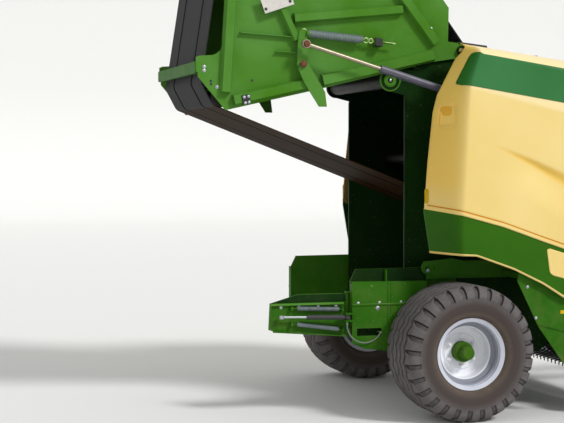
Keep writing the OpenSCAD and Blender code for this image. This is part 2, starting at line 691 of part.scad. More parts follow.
module crop_guard() color("darkgreen") from_axle() {
    rod_y([1560, 830], 60, -side_y + 60, side_y - 60);
    both_sides() slab(bar([1580, 832], [1085.3, 810], 40), side_y - 60, 10);
}

// Tine reel: a tube with end discs, tine bars between them, and bent tines along each bar
tine_bar_r = 150;
module pickup_reel() color("dimgray") from_axle() {
    rod_y(reel_c, 45, 20 - side_y, side_y - 20);
    rod_y(reel_c, 30, -side_y, side_y);
    for (y = [20 - side_y, -5, side_y - 30]) rod_y(reel_c, tine_bar_r + 26, y, y + 10);
    for (k = [0:tine_rows - 1]) translate([reel_c[0], 0, reel_c[1]]) rotate([0, k * 360 / tine_rows, 0]) {
        rod_y([tine_bar_r, 0], 18, 20 - side_y, side_y - 20);
        for (i = [1:bands - 1])
            slab(sheet([[tine_bar_r - 10, 14], [tine_bar_r + 60, 16], [tine_r - 4, -14]], 7), band_y(i) - 4, 8);
    }
}

module gauge_wheel() color([0.25, 0.25, 0.25]) from_axle() difference() {
    rod_y(gauge_c, gauge_od / 2, side_y + 20, side_y + 20 + gauge_w);
    rod_y(gauge_c, 15 + run_gap, side_y, side_y + 300);
}

module gauge_wheel_left() gauge_wheel();
module gauge_wheel_right() mirror([0, 1, 0]) gauge_wheel();

module feed_rotor() color("dimgray") from_axle() {
    rod_y(rotor_c, 80, -wall_in + 15, wall_in - 15);
    rod_y(rotor_c, 30, -wall_in + 0.3, wall_in - 0.3);
    for (i = [0:13], k = [0:3])
        translate([rotor_c[0], (i - 6.5) * 82, rotor_c[1]]) rotate([0, k * 90 + i * 24, 0])
            slab([[60, -40], [rotor_r, -10], [rotor_r, 8], [60, 40]], -6, 12);
}

module jack_leg() color("silver") from_axle() {
    block([2340 + slide_gap, 260 + slide_gap, 12], [2420 - slide_gap, 340 - slide_gap, 600]);
    block([2310, 230, 0], [2450, 370, 12]);
}

// Bale guide flap behind the right side box

module bale_flap() color("green") from_axle() mirror([0, 1, 0]) {
    spring_y = flap_in + 32;
    slab([[-700, 560], [-700, 838], [-740, 850], [-1060, 850], [-1262, 790], [-1271, 610], [-1240, 600]], flap_in, 8);
    slab([[-735, 778], [-735, 786], [-1262, 786], [-1262, 778]], flap_in + 8, 22);
    slab([[-735, 552], [-735, 560], [-1240, 600], [-1240, 592]], flap_in, 30);
    slab(bar([-1258, 782], [-1266, 612], 8), flap_in + 8, 20);
    translate([flap_pin[0], -flap_pin[1], 560]) cylinder(r = 14, h = 290);
    for (p = [[754, 742], [646, 604]]) {
        strut([-1080, spring_y, p[0]], [-772, spring_y, p[1]], 12);
        strut([-1110, spring_y, p[0] + 2], [-1080, spring_y, p[0]], 5);
        block([-1120, flap_in + 8, p[0] - 12], [-1104, spring_y + 10, p[0] + 14]);
        strut([-772, spring_y, p[1]], [-745, spring_y, p[1] - 2], 5);
        block([-752, flap_in + 8, p[1] - 14], [-740, spring_y + 10, p[1] + 12]);
    }
}

flap_u = (flap_eye - flap_foot) / norm(flap_eye - flap_foot);

module flap_barrel() color([0.42, 0.41, 0.47]) from_axle() difference() {
    union() {
        strut(flap_foot + flap_u * 20, flap_foot + flap_u * 290, 17);
        translate(flap_foot - [0, 0, 14]) cylinder(r = 20, h = 28);
    }
    translate(flap_foot - [0, 0, 40]) cylinder(r = 10 + run_gap, h = 80);
    strut(flap_foot + flap_u * 150, flap_foot + flap_u * 300, 8 + run_gap);
}

module flap_rod() color("silver") from_axle() {
    strut(flap_foot + flap_u * 240, flap_eye - flap_u * 12, 8);
    translate(flap_eye - [0, 0, 12]) cylinder(r = 17, h = 24);
}

// Main wheels

// Tyre, a closed grid of rings. Each lug takes four rings: its two ends, its middle and the notch behind it.
// Rows of the outer skin, as [radius, distance from the tyre's middle]; the notch cuts rows 3 and 4
lugs = 22;
lug_steps = [0, 0.37, 0.74, 0.87];
rings = 4 * lugs;
bead_r = rim_d / 2 - 18;
tyre_r = tyre_od / 2;
tyre_h = tyre_w / 2;
function tyre_row(k, notch) =
    k == 0 ? [bead_r / cos(180 / rings), 172] : k == 1 ? [bead_r + 65, tyre_h - 4] : k == 2 ? [tyre_r - 88, tyre_h - 1]
    : k == 3 ? (notch ? [tyre_r - 48, tyre_h - 34] : [tyre_r - 38, tyre_h - 12])
    : k == 4 ? (notch ? [tyre_r - 22, tyre_h - 66] : [tyre_r - 4, tyre_h - 62])
    : [tyre_r, tyre_h - 104];
outer_rows = 12;
inner_rows = [[(bead_r + 0.6) / cos(180 / lugs), 150], [tyre_r - 45, tyre_h - 62],
              [tyre_r - 45, 62 - tyre_h], [(bead_r + 0.6) / cos(180 / lugs), -150]];
function outer_row(k, notch) = k < 6 ? tyre_row(k, notch) : let (p = tyre_row(11 - k, notch)) [p[0], -p[1]];
function ring_point(p, a) = [p[0] * cos(a), p[1], p[0] * sin(a)];

// Numbers of the points on row k of the outer skin and of the inner skin
function o(k, i) = k * rings + i % rings;
function n(k, i) = outer_rows * rings + k * lugs + i % lugs;

module tyre() color([0.42, 0.4, 0.42]) from_axle() translate([0, wheel_y, axle_z]) {
    pitch = 360 / lugs;
    outer = [for (k = [0:outer_rows - 1], i = [0:rings - 1])
        ring_point(outer_row(k, i % 4 == 3), 90 + (floor(i / 4) + lug_steps[i % 4]) * pitch)];
    inner = [for (p = inner_rows, i = [0:lugs - 1]) ring_point(p, 90 + i * pitch)];
    faces = concat(
        [for (k = [0:outer_rows - 2], i = [0:rings - 1]) each
            [[o(k, i), o(k, i + 1), o(k + 1, i + 1)], [o(k, i), o(k + 1, i + 1), o(k + 1, i)]]],
        [for (k = [0:2], i = [0:lugs - 1]) each
            [[n(k, i), n(k + 1, i + 1), n(k, i + 1)], [n(k, i), n(k + 1, i), n(k + 1, i + 1)]]],
        [for (i = [0:lugs - 1]) each
            [[n(0, i), o(0, 4 * i + 1), o(0, 4 * i)], [n(0, i), o(0, 4 * i + 2), o(0, 4 * i + 1)],
             [n(0, i), n(0, i + 1), o(0, 4 * i + 2)],
             [n(0, i + 1), o(0, 4 * i + 3), o(0, 4 * i + 2)], [n(0, i + 1), o(0, 4 * i + 4), o(0, 4 * i + 3)]]],
        [for (i = [0:lugs - 1]) let (t = outer_rows - 1) each
            [[n(3, i), o(t, 4 * i), o(t, 4 * i + 1)], [n(3, i), o(t, 4 * i + 1), o(t, 4 * i + 2)],
             [n(3, i), o(t, 4 * i + 2), n(3, i + 1)],
             [n(3, i + 1), o(t, 4 * i + 2), o(t, 4 * i + 3)], [n(3, i + 1), o(t, 4 * i + 3), o(t, 4 * i + 4)]]]);
    polyhedron(concat(outer, inner), faces);
}

module rim() color("silver") from_axle() translate([0, wheel_y, axle_z]) rotate([-90, 0, 0])
    difference() {
        rotate_extrude($fn = 96) {
            f = rim_d / 2;
            bead = f - 18.3;
            well = f - 70;
            seat = disc_z - 12;
            polygon([[f, 203], [f, 195], [bead, 183], [bead, 130], [well + 10, 100], [well + 10, -100], [bead, -130],
                     [bead, -183], [f, -195], [f, -203], [bead - 8, -190], [bead - 8, -125], [well, -92],
                     [well, seat - disc_t], [stud_pcd / 2 + 28, seat - disc_t], [stud_pcd / 2 + 18, disc_z - disc_t],
                     [hub_r, disc_z - disc_t], [hub_r, disc_z], [stud_pcd / 2 + 18, disc_z],
                     [stud_pcd / 2 + 28, seat], [well - 12, seat], [well, disc_z], [well, 96], [bead - 22, 120],
                     [bead - 22, 150], [bead - 8, 158], [bead - 8, 190]]);
        }
        cylinder(r = hub_r + 0.5, h = 1000, center = true);
    }

// Six wheel nuts on the disc
module wheel_nuts() color("silver") from_axle() translate([0, wheel_y, axle_z]) rotate([-90, 0, 0])
    for (i = [0:5]) rotate([0, 0, i * 60 + 30]) translate([stud_pcd / 2, 0, disc_z]) {
        cylinder(r = 17, h = 16, $fn = 6);
        cylinder(r = 9, h = 30);
    }

module hub() color("green") from_axle() translate([0, wheel_y, axle_z]) rotate([-90, 0, 0]) {
    difference() {
        union() {
            translate([0, 0, -140]) cylinder(r = 75, h = 140 + disc_z - disc_t);
            translate([0, 0, disc_z - disc_t - 16]) cylinder(r = stud_pcd / 2 + 18, h = 16);
            translate([0, 0, disc_z - disc_t - 1]) cylinder(r = hub_r, h = 66);
            translate([0, 0, 71]) cylinder(r1 = hub_r, r2 = hub_r - 10, h = 10);
            translate([0, 0, 80]) cylinder(r = hub_cap_r, h = 70);
            translate([0, 0, 150]) cylinder(r1 = hub_cap_r, r2 = hub_cap_r - 7, h = 7);
        }
        translate([0, 0, -150]) cylinder(r = 45 + run_gap, h = 60);
    }
}

module tyre_left() tyre();
module tyre_right() mirror([0, 1, 0]) tyre();
module rim_left() {
    rim();
    wheel_nuts();
}
module rim_right() mirror([0, 1, 0]) rim_left();
module hub_left() hub();
module hub_right() mirror([0, 1, 0]) hub();

chassis_frame();
axle();
drawbar();
chamber_wall_right();
chamber_wall_left();
chamber_rollers();
front_belts();
free_belts();
gearbox();
drive_shaft();
front_hood();
skirts();
side_boxes();
chain_drive();
intake();
tailgate_wall_right();
tailgate_wall_left();
tailgate_beams();
tailgate_rollers();
tail_belts();
lock_right();
lock_left();
lift_barrel_right();
lift_rod_right();
lift_barrel_left();
lift_rod_left();
cover_right();
cover_left();
pickup_frame();
pickup_bands();
crop_guard();
pickup_reel();
gauge_wheel_right();
gauge_wheel_left();
feed_rotor();
jack_leg();
bale_flap();
flap_barrel();
flap_rod();
tyre_right();
rim_right();
hub_right();
tyre_left();
rim_left();
hub_left();
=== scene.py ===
# %% [markdown]
# # Round baler with its tailgate raised
# This lesson dresses a finished CAD frame. The frame holds every rigid piece at its real size, in metres,
# with X to the front, Y to the left and Z up. Here each piece gets the skin, relief and finish of the real
# machine. A surface is worked out as whole numpy arrays first, and then handed to a mesh in one call.

# %% Load the frame, and a helper that gives the box of one of its parts
import json
import math
import bmesh
import bpy
import numpy as np
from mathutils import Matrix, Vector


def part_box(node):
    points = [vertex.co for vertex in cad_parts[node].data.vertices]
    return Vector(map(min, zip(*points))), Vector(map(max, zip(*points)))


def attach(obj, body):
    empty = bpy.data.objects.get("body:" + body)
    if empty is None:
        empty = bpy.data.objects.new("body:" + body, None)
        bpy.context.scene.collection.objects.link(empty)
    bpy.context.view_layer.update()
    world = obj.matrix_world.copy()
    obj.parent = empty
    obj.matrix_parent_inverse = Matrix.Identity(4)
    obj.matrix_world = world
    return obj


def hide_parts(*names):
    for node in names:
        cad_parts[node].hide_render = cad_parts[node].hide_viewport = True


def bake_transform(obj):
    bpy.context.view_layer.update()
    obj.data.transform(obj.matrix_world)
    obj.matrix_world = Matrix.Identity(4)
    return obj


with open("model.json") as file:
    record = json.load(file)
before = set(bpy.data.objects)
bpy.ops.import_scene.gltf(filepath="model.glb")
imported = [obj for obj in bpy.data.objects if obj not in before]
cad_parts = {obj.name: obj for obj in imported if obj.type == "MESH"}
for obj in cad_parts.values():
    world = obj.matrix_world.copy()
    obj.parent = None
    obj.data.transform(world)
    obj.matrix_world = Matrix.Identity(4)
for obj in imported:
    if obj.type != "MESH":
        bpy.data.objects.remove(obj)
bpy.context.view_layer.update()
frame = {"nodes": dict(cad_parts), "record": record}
nodes = frame["nodes"]
scene = bpy.context.scene
axle_x = -0.815

# %% [markdown]
# ## Camera
# The photographer stood behind the right-hand wheel and used a long lens. The wheel is a circle of known
# size, so its outline in the picture gives the distance and the angle: 15.7 degrees off square, looking
# down by 2 degrees. A lens of 95.7 mm on a 36 mm sensor gives the same framing.

# %% Camera
def show(name, data):
    """Makes an object of a mesh, a camera or a lamp, and links it to the scene."""
    thing = bpy.data.objects.new(name, data)
    scene.collection.objects.link(thing)
    return thing


camera = show("camera", bpy.data.cameras.new("camera"))
camera.data.sensor_width = 36
camera.data.lens = 95.74
camera.location = (axle_x - 3.954, -10.601, 1.79)
camera.rotation_euler = (math.radians(90 - 2.06), 0, math.radians(-15.72))
camera.data.clip_end = 200
scene.camera = camera
print("camera at", tuple(camera.location), "with a lens of", round(camera.data.lens, 2), "mm")

# %% [markdown]
# ## Colours and nodes
# Colours are written as sRGB hex, as a paint chart gives them, and turned to linear values. One small
# function adds a node, sets its properties and fills its inputs. A class keeps the material that is being
# built, so that each finish below reads as a list of what feeds what.

# %% Colour and node helpers
def linear(code):
    """sRGB hex to linear: c / 12.92 for a channel up to 0.04045, and ((c + 0.055) / 1.055) ** 2.4 above it."""
    c = np.array([int(code[i:i + 2], 16) for i in (1, 3, 5)]) / 255
    c = np.where(c <= 0.04045, c / 12.92, ((c + 0.055) / 1.055) ** 2.4)
    return (*[float(v) for v in c], 1.0)


def add(tree, kind, inputs=None, **settings):
    """Adds a shader node, sets its properties, then its inputs: a socket is linked, a hex code becomes linear, and
    any other value is written in."""
    made = tree.nodes.new("ShaderNode" + kind)
    for key, value in settings.items():
        setattr(made, key, value)
    for key, value in (inputs or {}).items():
        if isinstance(value, bpy.types.NodeSocket):
            tree.links.new(value, made.inputs[key])
        else:
            made.inputs[key].default_value = linear(value) if isinstance(value, str) else value
    return made


print("the pale backdrop in linear values", linear("#e9e9e7"))


# %% A material that is being built
class Finish:
    """A material with one Principled shader, and the nodes that feed it, all placed by Object coordinates in metres."""

    def __init__(self, name, specular=0.5, **shader):
        self.material = bpy.data.materials.new(name)
        self.material.use_nodes = True
        self.tree = self.material.node_tree
        self.tree.nodes.clear()
        self.surface = add(self.tree, "BsdfPrincipled", {"Specular IOR Level": specular, **shader})
        add(self.tree, "OutputMaterial", {"Surface": self.surface.outputs["BSDF"]})
        self.place = add(self.tree, "TexCoord").outputs["Object"]

    def noise(self, scale, detail, roughness=0.5, place=None):
        """Noise from 0 to 1, whose clouds are about a metre divided by the scale."""
        return add(self.tree, "TexNoise", {"Vector": place or self.place, "Scale": scale, "Detail": detail,
                                                     "Roughness": roughness}).outputs["Fac"]

    def maths(self, operation, *values):
        """The result of one operation on sockets or numbers."""
        return add(self.tree, "Math", dict(enumerate(values)), operation=operation).outputs[0]

    def vectors(self, operation, *values):
        """A node for one operation on vectors."""
        return add(self.tree, "VectorMath", dict(enumerate(values)), operation=operation)

    def ramp(self, value, low, high, to_low=0.0, to_high=1.0):
        """to_low up to low, to_high from high on, and straight between them."""
        return add(self.tree, "MapRange", {"Value": value, "From Min": low, "From Max": high,
                                                     "To Min": to_low, "To Max": to_high}).outputs["Result"]

    def blend(self, share, first, second):
        """Mixes two colours, each a hex code or a socket, by a share from 0 to 1."""
        return add(self.tree, "Mix", {0: share, 6: first, 7: second}, data_type="RGBA").outputs[2]

    def coordinate(self, letter):
        """X, Y or Z of the place, in metres."""
        return add(self.tree, "SeparateXYZ", {"Vector": self.place}).outputs[letter]

    def kept(self, name):
        """The number that note() keeps on each point of a piece."""
        return add(self.tree, "Attribute", attribute_name=name).outputs["Fac"]

    def radius(self, centre):
        """Distance from a wheel's axis, the length of (place - centre) without its y."""
        off = self.vectors("SUBTRACT", self.place, centre).outputs[0]
        flat = self.vectors("MULTIPLY", off, (1.0, 0.0, 1.0)).outputs[0]
        return self.vectors("LENGTH", flat).outputs["Value"]

    def done(self, colour, height, strength, distance, rough=None):
        """Feeds the shader its colour, a bump from the height and, where it is given, the roughness."""
        bump = add(self.tree, "Bump", {"Height": height, "Strength": strength, "Distance": distance})
        fed = {"Base Color": colour, "Normal": bump.outputs["Normal"], "Roughness": rough}
        for key, output in fed.items():
            if output is not None:
                self.tree.links.new(output, self.surface.inputs[key])
        print("material", self.material.name, "of", len(self.tree.nodes), "nodes")
        return self.material


# %% [markdown]
# ## Paint
# Farm machines are primed and sprayed with enamel. The eye sees a clean highlight with an orange peel of
# about 3 mm, dust in soft clouds of 100 to 300 mm that thickens near the ground, and chips of a few
# millimetres. All of these are noises at those sizes.

# %% Enamel paints
def enamel(name, colour, tone_and_reflection, dust, hose=None):
    """Colour varies towards a second, lighter tone in 400 mm clouds, partly random tone and partly painted sky
    reflection, and dust lies on it. A piece that has a hose gets the hose's colour where it stands more than 806 mm out
    on the right, under 655 mm."""
    m = Finish(name, 0.05, Roughness=0.32, IOR=1.5)
    cloud, fine, spots = m.noise(2.5, 4.0), m.noise(9.0, 6.0, 0.7), m.noise(110.0, 2.0)
    height = m.coordinate("Z")
    # Painted reflection: the 400 mm clouds lighten the paint towards its second tone as soft sky reflections do,
    # besides varying its tone at random.
    paint_and_reflection = m.blend(m.ramp(cloud, 0.35, 0.65), colour, tone_and_reflection)
    dirt = m.maths("MULTIPLY", m.ramp(fine, 0.45, 0.75), m.ramp(height, 1.6, 0.3))
    dirty = m.blend(m.maths("MULTIPLY", dirt, 0.45), paint_and_reflection, dust)
    finish = m.blend(m.ramp(spots, 0.735, 0.75), dirty, "#8a8d84")
    if hose:
        outside, under = m.maths("LESS_THAN", m.coordinate("Y"), -0.806), m.maths("LESS_THAN", height, 0.655)
        finish = m.blend(m.maths("MULTIPLY", outside, under), finish, hose)
    return m.done(finish, m.noise(330.0, 1.0), 0.12, 0.0006, m.ramp(fine, 0.0, 1.0, 0.34, 0.56))


green_enamel = enamel("green_enamel", "#457a1c", "#568a3a", "#8f8f5c")
# Painted shade: the low green and the box green are darker copies of the green enamel, for parts that lie in shade
# under the covers; the box green also carries the hose's own grey.
low_shade_enamel = enamel("low_painted_shade_green", "#2b6110", "#386c1a", "#6c7440")
boxes_shade_enamel = enamel("box_painted_shade_green", "#2b6110", "#386c1a", "#6c7440", hose="#777b72")
frame_enamel = enamel("frame_enamel", "#1d4b0f", "#265716", "#6d6c48")
# Painted shade: a near-black green for the chamber walls and for sheets laid where there is only shade.
shaded_enamel = enamel("shaded_enamel", "#0f2a0a", "#15330f", "#3d3f2a")
hub_enamel = enamel("hub_enamel", "#32600e", "#3c6c17", "#6c6c40")

# %% [markdown]
# ## Moulded covers
# The side covers are vacuum-formed from a cream sheet and lacquered. Such a skin has no grain. What shows
# is a broad soft highlight and a slight sag of the surface over 200 mm. A deeper, warmer tone is painted as shade
# where the sheet turns away from the light, towards the rear corner, under the swage line and at the top of the
# grip's hollow, and a paler tone is painted as light above the line from which the skin leans in.

# %% Cover finishes
def moulding(name, colour, deep, bent, roughness, light=None):
    """Colour drifts to the deep tone in 700 mm clouds, to the bent tone, which is painted shade, by the share kept as
    drawn, and to a light tone, where it has one, which is painted light, by the share kept as pale; the bump
    is of 200 mm waves."""
    m = Finish(name, 0.08, Roughness=roughness, IOR=1.49)
    tone = m.blend(m.ramp(m.noise(1.4, 3.0), 0.35, 0.7), colour, deep)
    specks = m.maths("MULTIPLY", m.ramp(m.noise(14.0, 7.0, 0.75), 0.55, 0.85), 0.25)
    dull = m.blend(specks, tone, deep)
    if light:
        dull = m.blend(m.kept("pale"), dull, light)
    return m.done(m.blend(m.kept("drawn"), dull, bent), m.noise(5.0, 1.0), 0.25, 0.004)


# Painted shade: each moulding's third colour is a deeper, warmer tone laid where the skin turns away from the light;
# painted light: the cream's last colour is a paler tone laid above the lean line.
cream_moulding = moulding("cream_moulding", "#efd68e", "#e8cb7c", "#f3c95e", 0.36, "#f7e4b0")
green_moulding = moulding("green_moulding", "#356a12", "#2d5c0e", "#245203", 0.36)
band_film = moulding("band_film", "#3d7a47", "#2f6a34", "#2b6a22", 0.3)
marker_film = moulding("marker_film", "#dcb41c", "#cda616", "#b08c12", 0.4)
# Painted light and painted shade in the grip's hollow: a paler cream over it, and a deeper gold at its top.
grip_painted_light = moulding("grip_painted_light", "#fbdb8c", "#f4d07c", "#f8d068", 0.5)
grip_shade = moulding("grip_shade", "#efbd50", "#e4b044", "#e8b342", 0.5)
# Painted shade: an orange-gold strip laid in the groove along the border.
border_groove_shade = moulding("border_groove_shade", "#d8922a", "#cb821e", "#c07c1c", 0.5)

# %% [markdown]
# ## Rubber, steel and plastics
# Belts are a woven carcass with a matt rubber cover, whose threads of about 4 mm are drawn twice as coarse
# so that they show; beside the slits between them the rubber is painted near black as shade. The tyre has a grey
# bloom and brown dust low on the sidewall, and painted shade in its grooves and notches with painted shadow
# along the notch walls, which are told apart by a number kept on each point. Rollers are bare steel that the
# crop has scoured.

# %% Belt rubber
def belting(name, colour, dust, share):
    """Rubber cover on a weave: two crossed waves with ridges 8 mm wide as bump, long streaks of dust along the run,
    and painted shade, near black over 20 mm beside the slits between the belts, which lie 300 mm off the middle."""
    m = Finish(name, 0.03, Roughness=0.62, IOR=1.5)
    long = add(m.tree, "Mapping", {"Vector": m.place, "Scale": (0.6, 14.0, 0.6)}).outputs["Vector"]
    dusty = m.maths("MULTIPLY", m.ramp(m.noise(3.0, 6.0, place=long), 0.35, 0.75), share)
    # Painted shade: near black beside the slits between the belts.
    slit_shade = m.maths("COMPARE", m.maths("ABSOLUTE", m.coordinate("Y")), 0.3, 0.026)
    waves = [add(m.tree, "TexWave", {"Vector": m.place, "Scale": 20.0}, bands_direction=way).outputs["Fac"]
             for way in "YZ"]
    weave = m.maths("MULTIPLY", *waves)
    return m.done(m.blend(slit_shade, m.blend(dusty, colour, dust), "#060606"), weave, 0.35, 0.0012)


belt_cover = belting("belt_cover", "#363738", "#474747", 0.5)
belt_under = belting("belt_under", "#2a1b0d", "#3b2916", 0.7)

# %% Tyre rubber
def tyre_rubber(name, centre):
    """Rubber with a grey bloom on the tread, brown within 0.37 m of the wheel's middle, dusty within 0.27 m, and
    darkened as painted shade by the share that recess_shade holds."""
    m = Finish(name, 0.2, Roughness=0.78, IOR=1.45)
    radius, cloud = m.radius(centre), m.noise(18.0, 8.0, 0.7)
    bloom = m.blend(m.ramp(cloud, 0.3, 0.7), "#575351", "#6d696a")
    walled = m.blend(m.ramp(radius, 0.400, 0.335), bloom, "#48403d")
    dusty = m.maths("MULTIPLY", m.ramp(radius, 0.30, 0.235), m.ramp(cloud, 0.1, 0.6))
    colour = m.blend(m.kept("recess_shade"), m.blend(dusty, walled, "#6f6255"), "#161312")
    return m.done(colour, m.noise(260.0, 3.0), 0.3, 0.001)


# %% Metals
def metal(name, colour, dull, roughness, metallic, scale, bump_depth=0.0004):
    """Metal with a grain: noise of the given scale drives colour towards dull and makes a shallow bump."""
    m = Finish(name, Metallic=metallic, Roughness=roughness)
    grain = m.noise(scale, 6.0, 0.65)
    rough = m.ramp(grain, 0.0, 1.0, max(0.04, roughness - 0.1), min(1.0, roughness + 0.15))
    return m.done(m.blend(m.ramp(grain, 0.3, 0.7), colour, dull), grain, 0.3, bump_depth, rough)


roller_steel = metal("scoured_roller_steel", "#1f1d1b", "#161311", 0.55, 0.2, 30.0)
gear_iron = metal("painted_cast_iron", "#3a3d3b", "#2c2e2c", 0.6, 0.1, 160.0, 0.0015)
zinc_sheet = metal("galvanised_sheet", "#b4b8ba", "#8f9598", 0.38, 0.85, 45.0)
rim_lacquer = metal("silver_rim_lacquer", "#d3d6e0", "#c2c5d0", 0.4, 0.0, 12.0)
cylinder_paint = metal("grey_cylinder_paint", "#5f5d6b", "#4d4b58", 0.4, 0.1, 25.0)
chrome_rod = metal("hard_chrome", "#a89f88", "#958c76", 0.34, 0.6, 60.0, 0.00002)
spring_zinc = metal("zinc_plated_spring", "#8b9599", "#6f797e", 0.45, 0.35, 40.0)
bolt_zinc = metal("zinc_plated_bolt", "#c9ccd2", "#9da1a8", 0.32, 0.8, 80.0)
rust = metal("rusted_steel", "#7f5238", "#5c3324", 0.85, 0.2, 60.0, 0.002)
pale_zinc = metal("yellow_zinc_wire", "#b9cf8e", "#98ad70", 0.4, 0.3, 60.0)
plate_white = metal("blank_white_plate", "#d9d5cf", "#c9c4bd", 0.5, 0.0, 20.0)

# %% Wheel rim
def rim_finish(name, centre):
    """Silver lacquer with painted shade, a darker tone, in the rim's well, from 182 to 216 mm off the wheel's middle,
    and painted light, a paler tone, on the disc within it."""
    m = Finish(name, 0.08, Roughness=0.72)
    radius, grain = m.radius(centre), m.noise(14.0, 6.0, 0.65)
    lacquer = m.blend(m.ramp(grain, 0.3, 0.7), "#d0d3de", "#c2c5d1")
    # Painted shade in the well, then painted light on the disc.
    shaded = m.blend(m.maths("COMPARE", radius, 0.199, 0.017), lacquer, "#8e919b")
    return m.done(m.blend(m.ramp(radius, 0.184, 0.178), shaded, "#f0f1f6"), grain, 0.2, 0.0006)


# %% Plastics
def plastic(name, colour, worn, roughness):
    """Moulded plastic: a 1.5 mm grain as bump, and scuffs that lighten it in 60 mm patches."""
    m = Finish(name, Roughness=roughness, IOR=1.47)
    scuffed = m.blend(m.ramp(m.noise(16.0, 6.0, 0.7), 0.5, 0.8), colour, worn)
    return m.done(scuffed, m.noise(650.0, 1.0), 0.2, 0.0005)


black_guard = plastic("black_guard_plastic", "#1d1d1e", "#39383a", 0.5)
black_rubber = plastic("black_hose_rubber", "#232123", "#3c3a3c", 0.6)

# %% [markdown]
# ## Surfaces
# A surface is a grid of points that is joined into quads, and what stands on both sides of the machine is
# worked out on the left and mirrored. Every piece is written by one function, which also says on which body
# of the frame it rides.

# %% Write one piece
def piece(name, points, faces, material, body=None, smooth=40):
    """Writes points (n, 3) and quads (m, 4) to a mesh, merges points that meet, marks edges sharper than the angle,
    and rides the piece on a body. The material may be a list."""
    mesh = bpy.data.meshes.new(name)
    mesh.from_pydata(np.reshape(points, (-1, 3)).tolist(), [], np.reshape(faces, (-1, 4)).tolist())
    work = bmesh.new()
    work.from_mesh(mesh)
    bmesh.ops.remove_doubles(work, verts=work.verts, dist=1e-6)
    work.to_mesh(mesh)
    work.free()
    mesh.shade_smooth()
    mesh.set_sharp_from_angle(angle=math.radians(smooth))
    for m in material if isinstance(material, list) else [material]:
        mesh.materials.append(m)
    made = show(name, mesh)
    if body:
        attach(made, body)
    print(name, "of", len(mesh.polygons), "faces")
    return made


# %% Grids and both sides
def quads(rows, columns, loop_rows=False, loop_columns=False):
    """Corner numbers of the quads of a grid; a loop joins its last line to its first."""
    i, j = np.meshgrid(np.arange(rows - (not loop_rows)), np.arange(columns - (not loop_columns)), indexing="ij")
    i2, j2 = (i + 1) % rows, (j + 1) % columns
    return np.stack([i * columns + j, i * columns + j2, i2 * columns + j2, i2 * columns + j], -1).reshape(-1, 4)


def at(x, y, z):
    """A place given in millimetres from the axle, as metres in the frame."""
    return np.stack(np.broadcast_arrays(np.asarray(x) / 1000 + axle_x, np.asarray(y) / 1000, np.asarray(z) / 1000), -1)


def place_both(name, form, material, body, smooth=40):
    """Puts a form on the left and its mirror, y negated and quads turned round, on the right. Both ride one body,
    or each the body of its side."""
    halves = {"left": form, "right": (form[0] * np.array([1, -1, 1]), form[1][:, ::-1])}
    return {side: piece(name + "_" + side, *half, material, body.replace("SIDE", side), smooth)
            for side, half in halves.items()}


print("the hub's place in the frame", at(0, 1060, 465))

# %% [markdown]
# ## Finishes of the frame's own pieces
# A piece whose shape is right keeps its mesh and only gets its finish. Each has a slot in the record that
# says what it is made of, and a few names are told apart from their slot, such as the shaded chamber walls.

# %% Finish each CAD node
finish_of_slot = {
    "green_paint": green_enamel, "dark_green_paint": frame_enamel, "belt_rubber": belt_cover,
    "roller_steel": roller_steel, "gear_casting": gear_iron, "guard_plastic": black_guard,
    "yellow_moulding": cream_moulding, "zinc_sheet": zinc_sheet, "rim_paint": rim_lacquer,
    "cylinder_paint": cylinder_paint, "chrome_rod": chrome_rod}
# Painted shade: the low frame, flap, skirts, beams and boxes get the darker low green, and the chamber walls get the
# near-black shaded enamel, because they lie in shade.
finish_of_node = {
    "hub_right": hub_enamel, "hub_left": hub_enamel, "side_boxes": boxes_shade_enamel, "bale_flap": low_shade_enamel,
    "chamber_wall_right": shaded_enamel, "chamber_wall_left": shaded_enamel, "chassis_frame": low_shade_enamel,
    "skirts": low_shade_enamel, "tailgate_beams": low_shade_enamel, "flap_barrel": gear_iron, "flap_rod": bolt_zinc}


def refinish(thing, material):
    """Gives a CAD node one material in place of its own."""
    thing.data.materials.clear()
    thing.data.materials.append(material)


for part in frame["record"]["subparts"]:
    finish = finish_of_node.get(part["node"]) or finish_of_slot.get(part["material_slot"])
    if finish and part["node"] in nodes:
        refinish(nodes[part["node"]], finish)
print(len(nodes), "nodes finished")

# %% [markdown]
# ## Side covers
# The cover is one skin. Seen from behind it turns in sharply behind a soft vertical crease, its top edge
# rolls in to the hinge, a swage line runs forward and down, and the green foot sits a step behind the cream
# panel. All of that is one formula for the depth y at each (x, z), read from short tables of edges. The
# lengths here are in millimetres from the axle.

# %% Tables of the cover's edges
def read(table, v):
    """Straight-line reading of a two-column table."""
    return np.interp(v, table[:, 0], table[:, 1])


rear_edge = np.array([[1129, -163], [1414, -210], [1743, -186], [2100, -148], [2222, -117], [2401, -19], [2568, 76]])
crease = np.array([[1129, -20], [1395, -25], [1884, 2], [2275, 22], [2490, 90], [2568, 118]])
front_edge = np.array([[1129, 1500], [2568, 1230]])
bottom_edge = np.array([[-163, 1129], [69, 1119], [344, 1022], [561, 918], [717, 821], [1100, 720], [1500, 690]])
border = np.array([[-209, 1440], [-42, 1402], [261, 1321], [559, 1217], [714, 1165], [1500, 900]])
swage = np.array([[-200, 1960], [197, 1870], [320, 1828], [458, 1758], [706, 1615], [1500, 1160]])
swage_high = np.array([[-200, 1990], [184, 1878], [253, 1861], [458, 1789], [706, 1693], [1500, 1380]])
swage_low = np.array([[-200, 1984], [184, 1864], [258, 1838], [463, 1746], [712, 1615], [1500, 1160]])
cover_out, rear_turn, front_turn, top_roll = 1200, 290, 130, 400
swage_in, scoop_in, foot_step, groove_in = 32, 40, 10, 3.5
foot_rows, panel_rows, rear_columns, side_columns = 20, 120, 35, 76


def cover_top(x):
    """Height of the hinge edge at x: it falls 147 mm over 1150 mm."""
    return 2583 - 0.1278 * (x - 110)


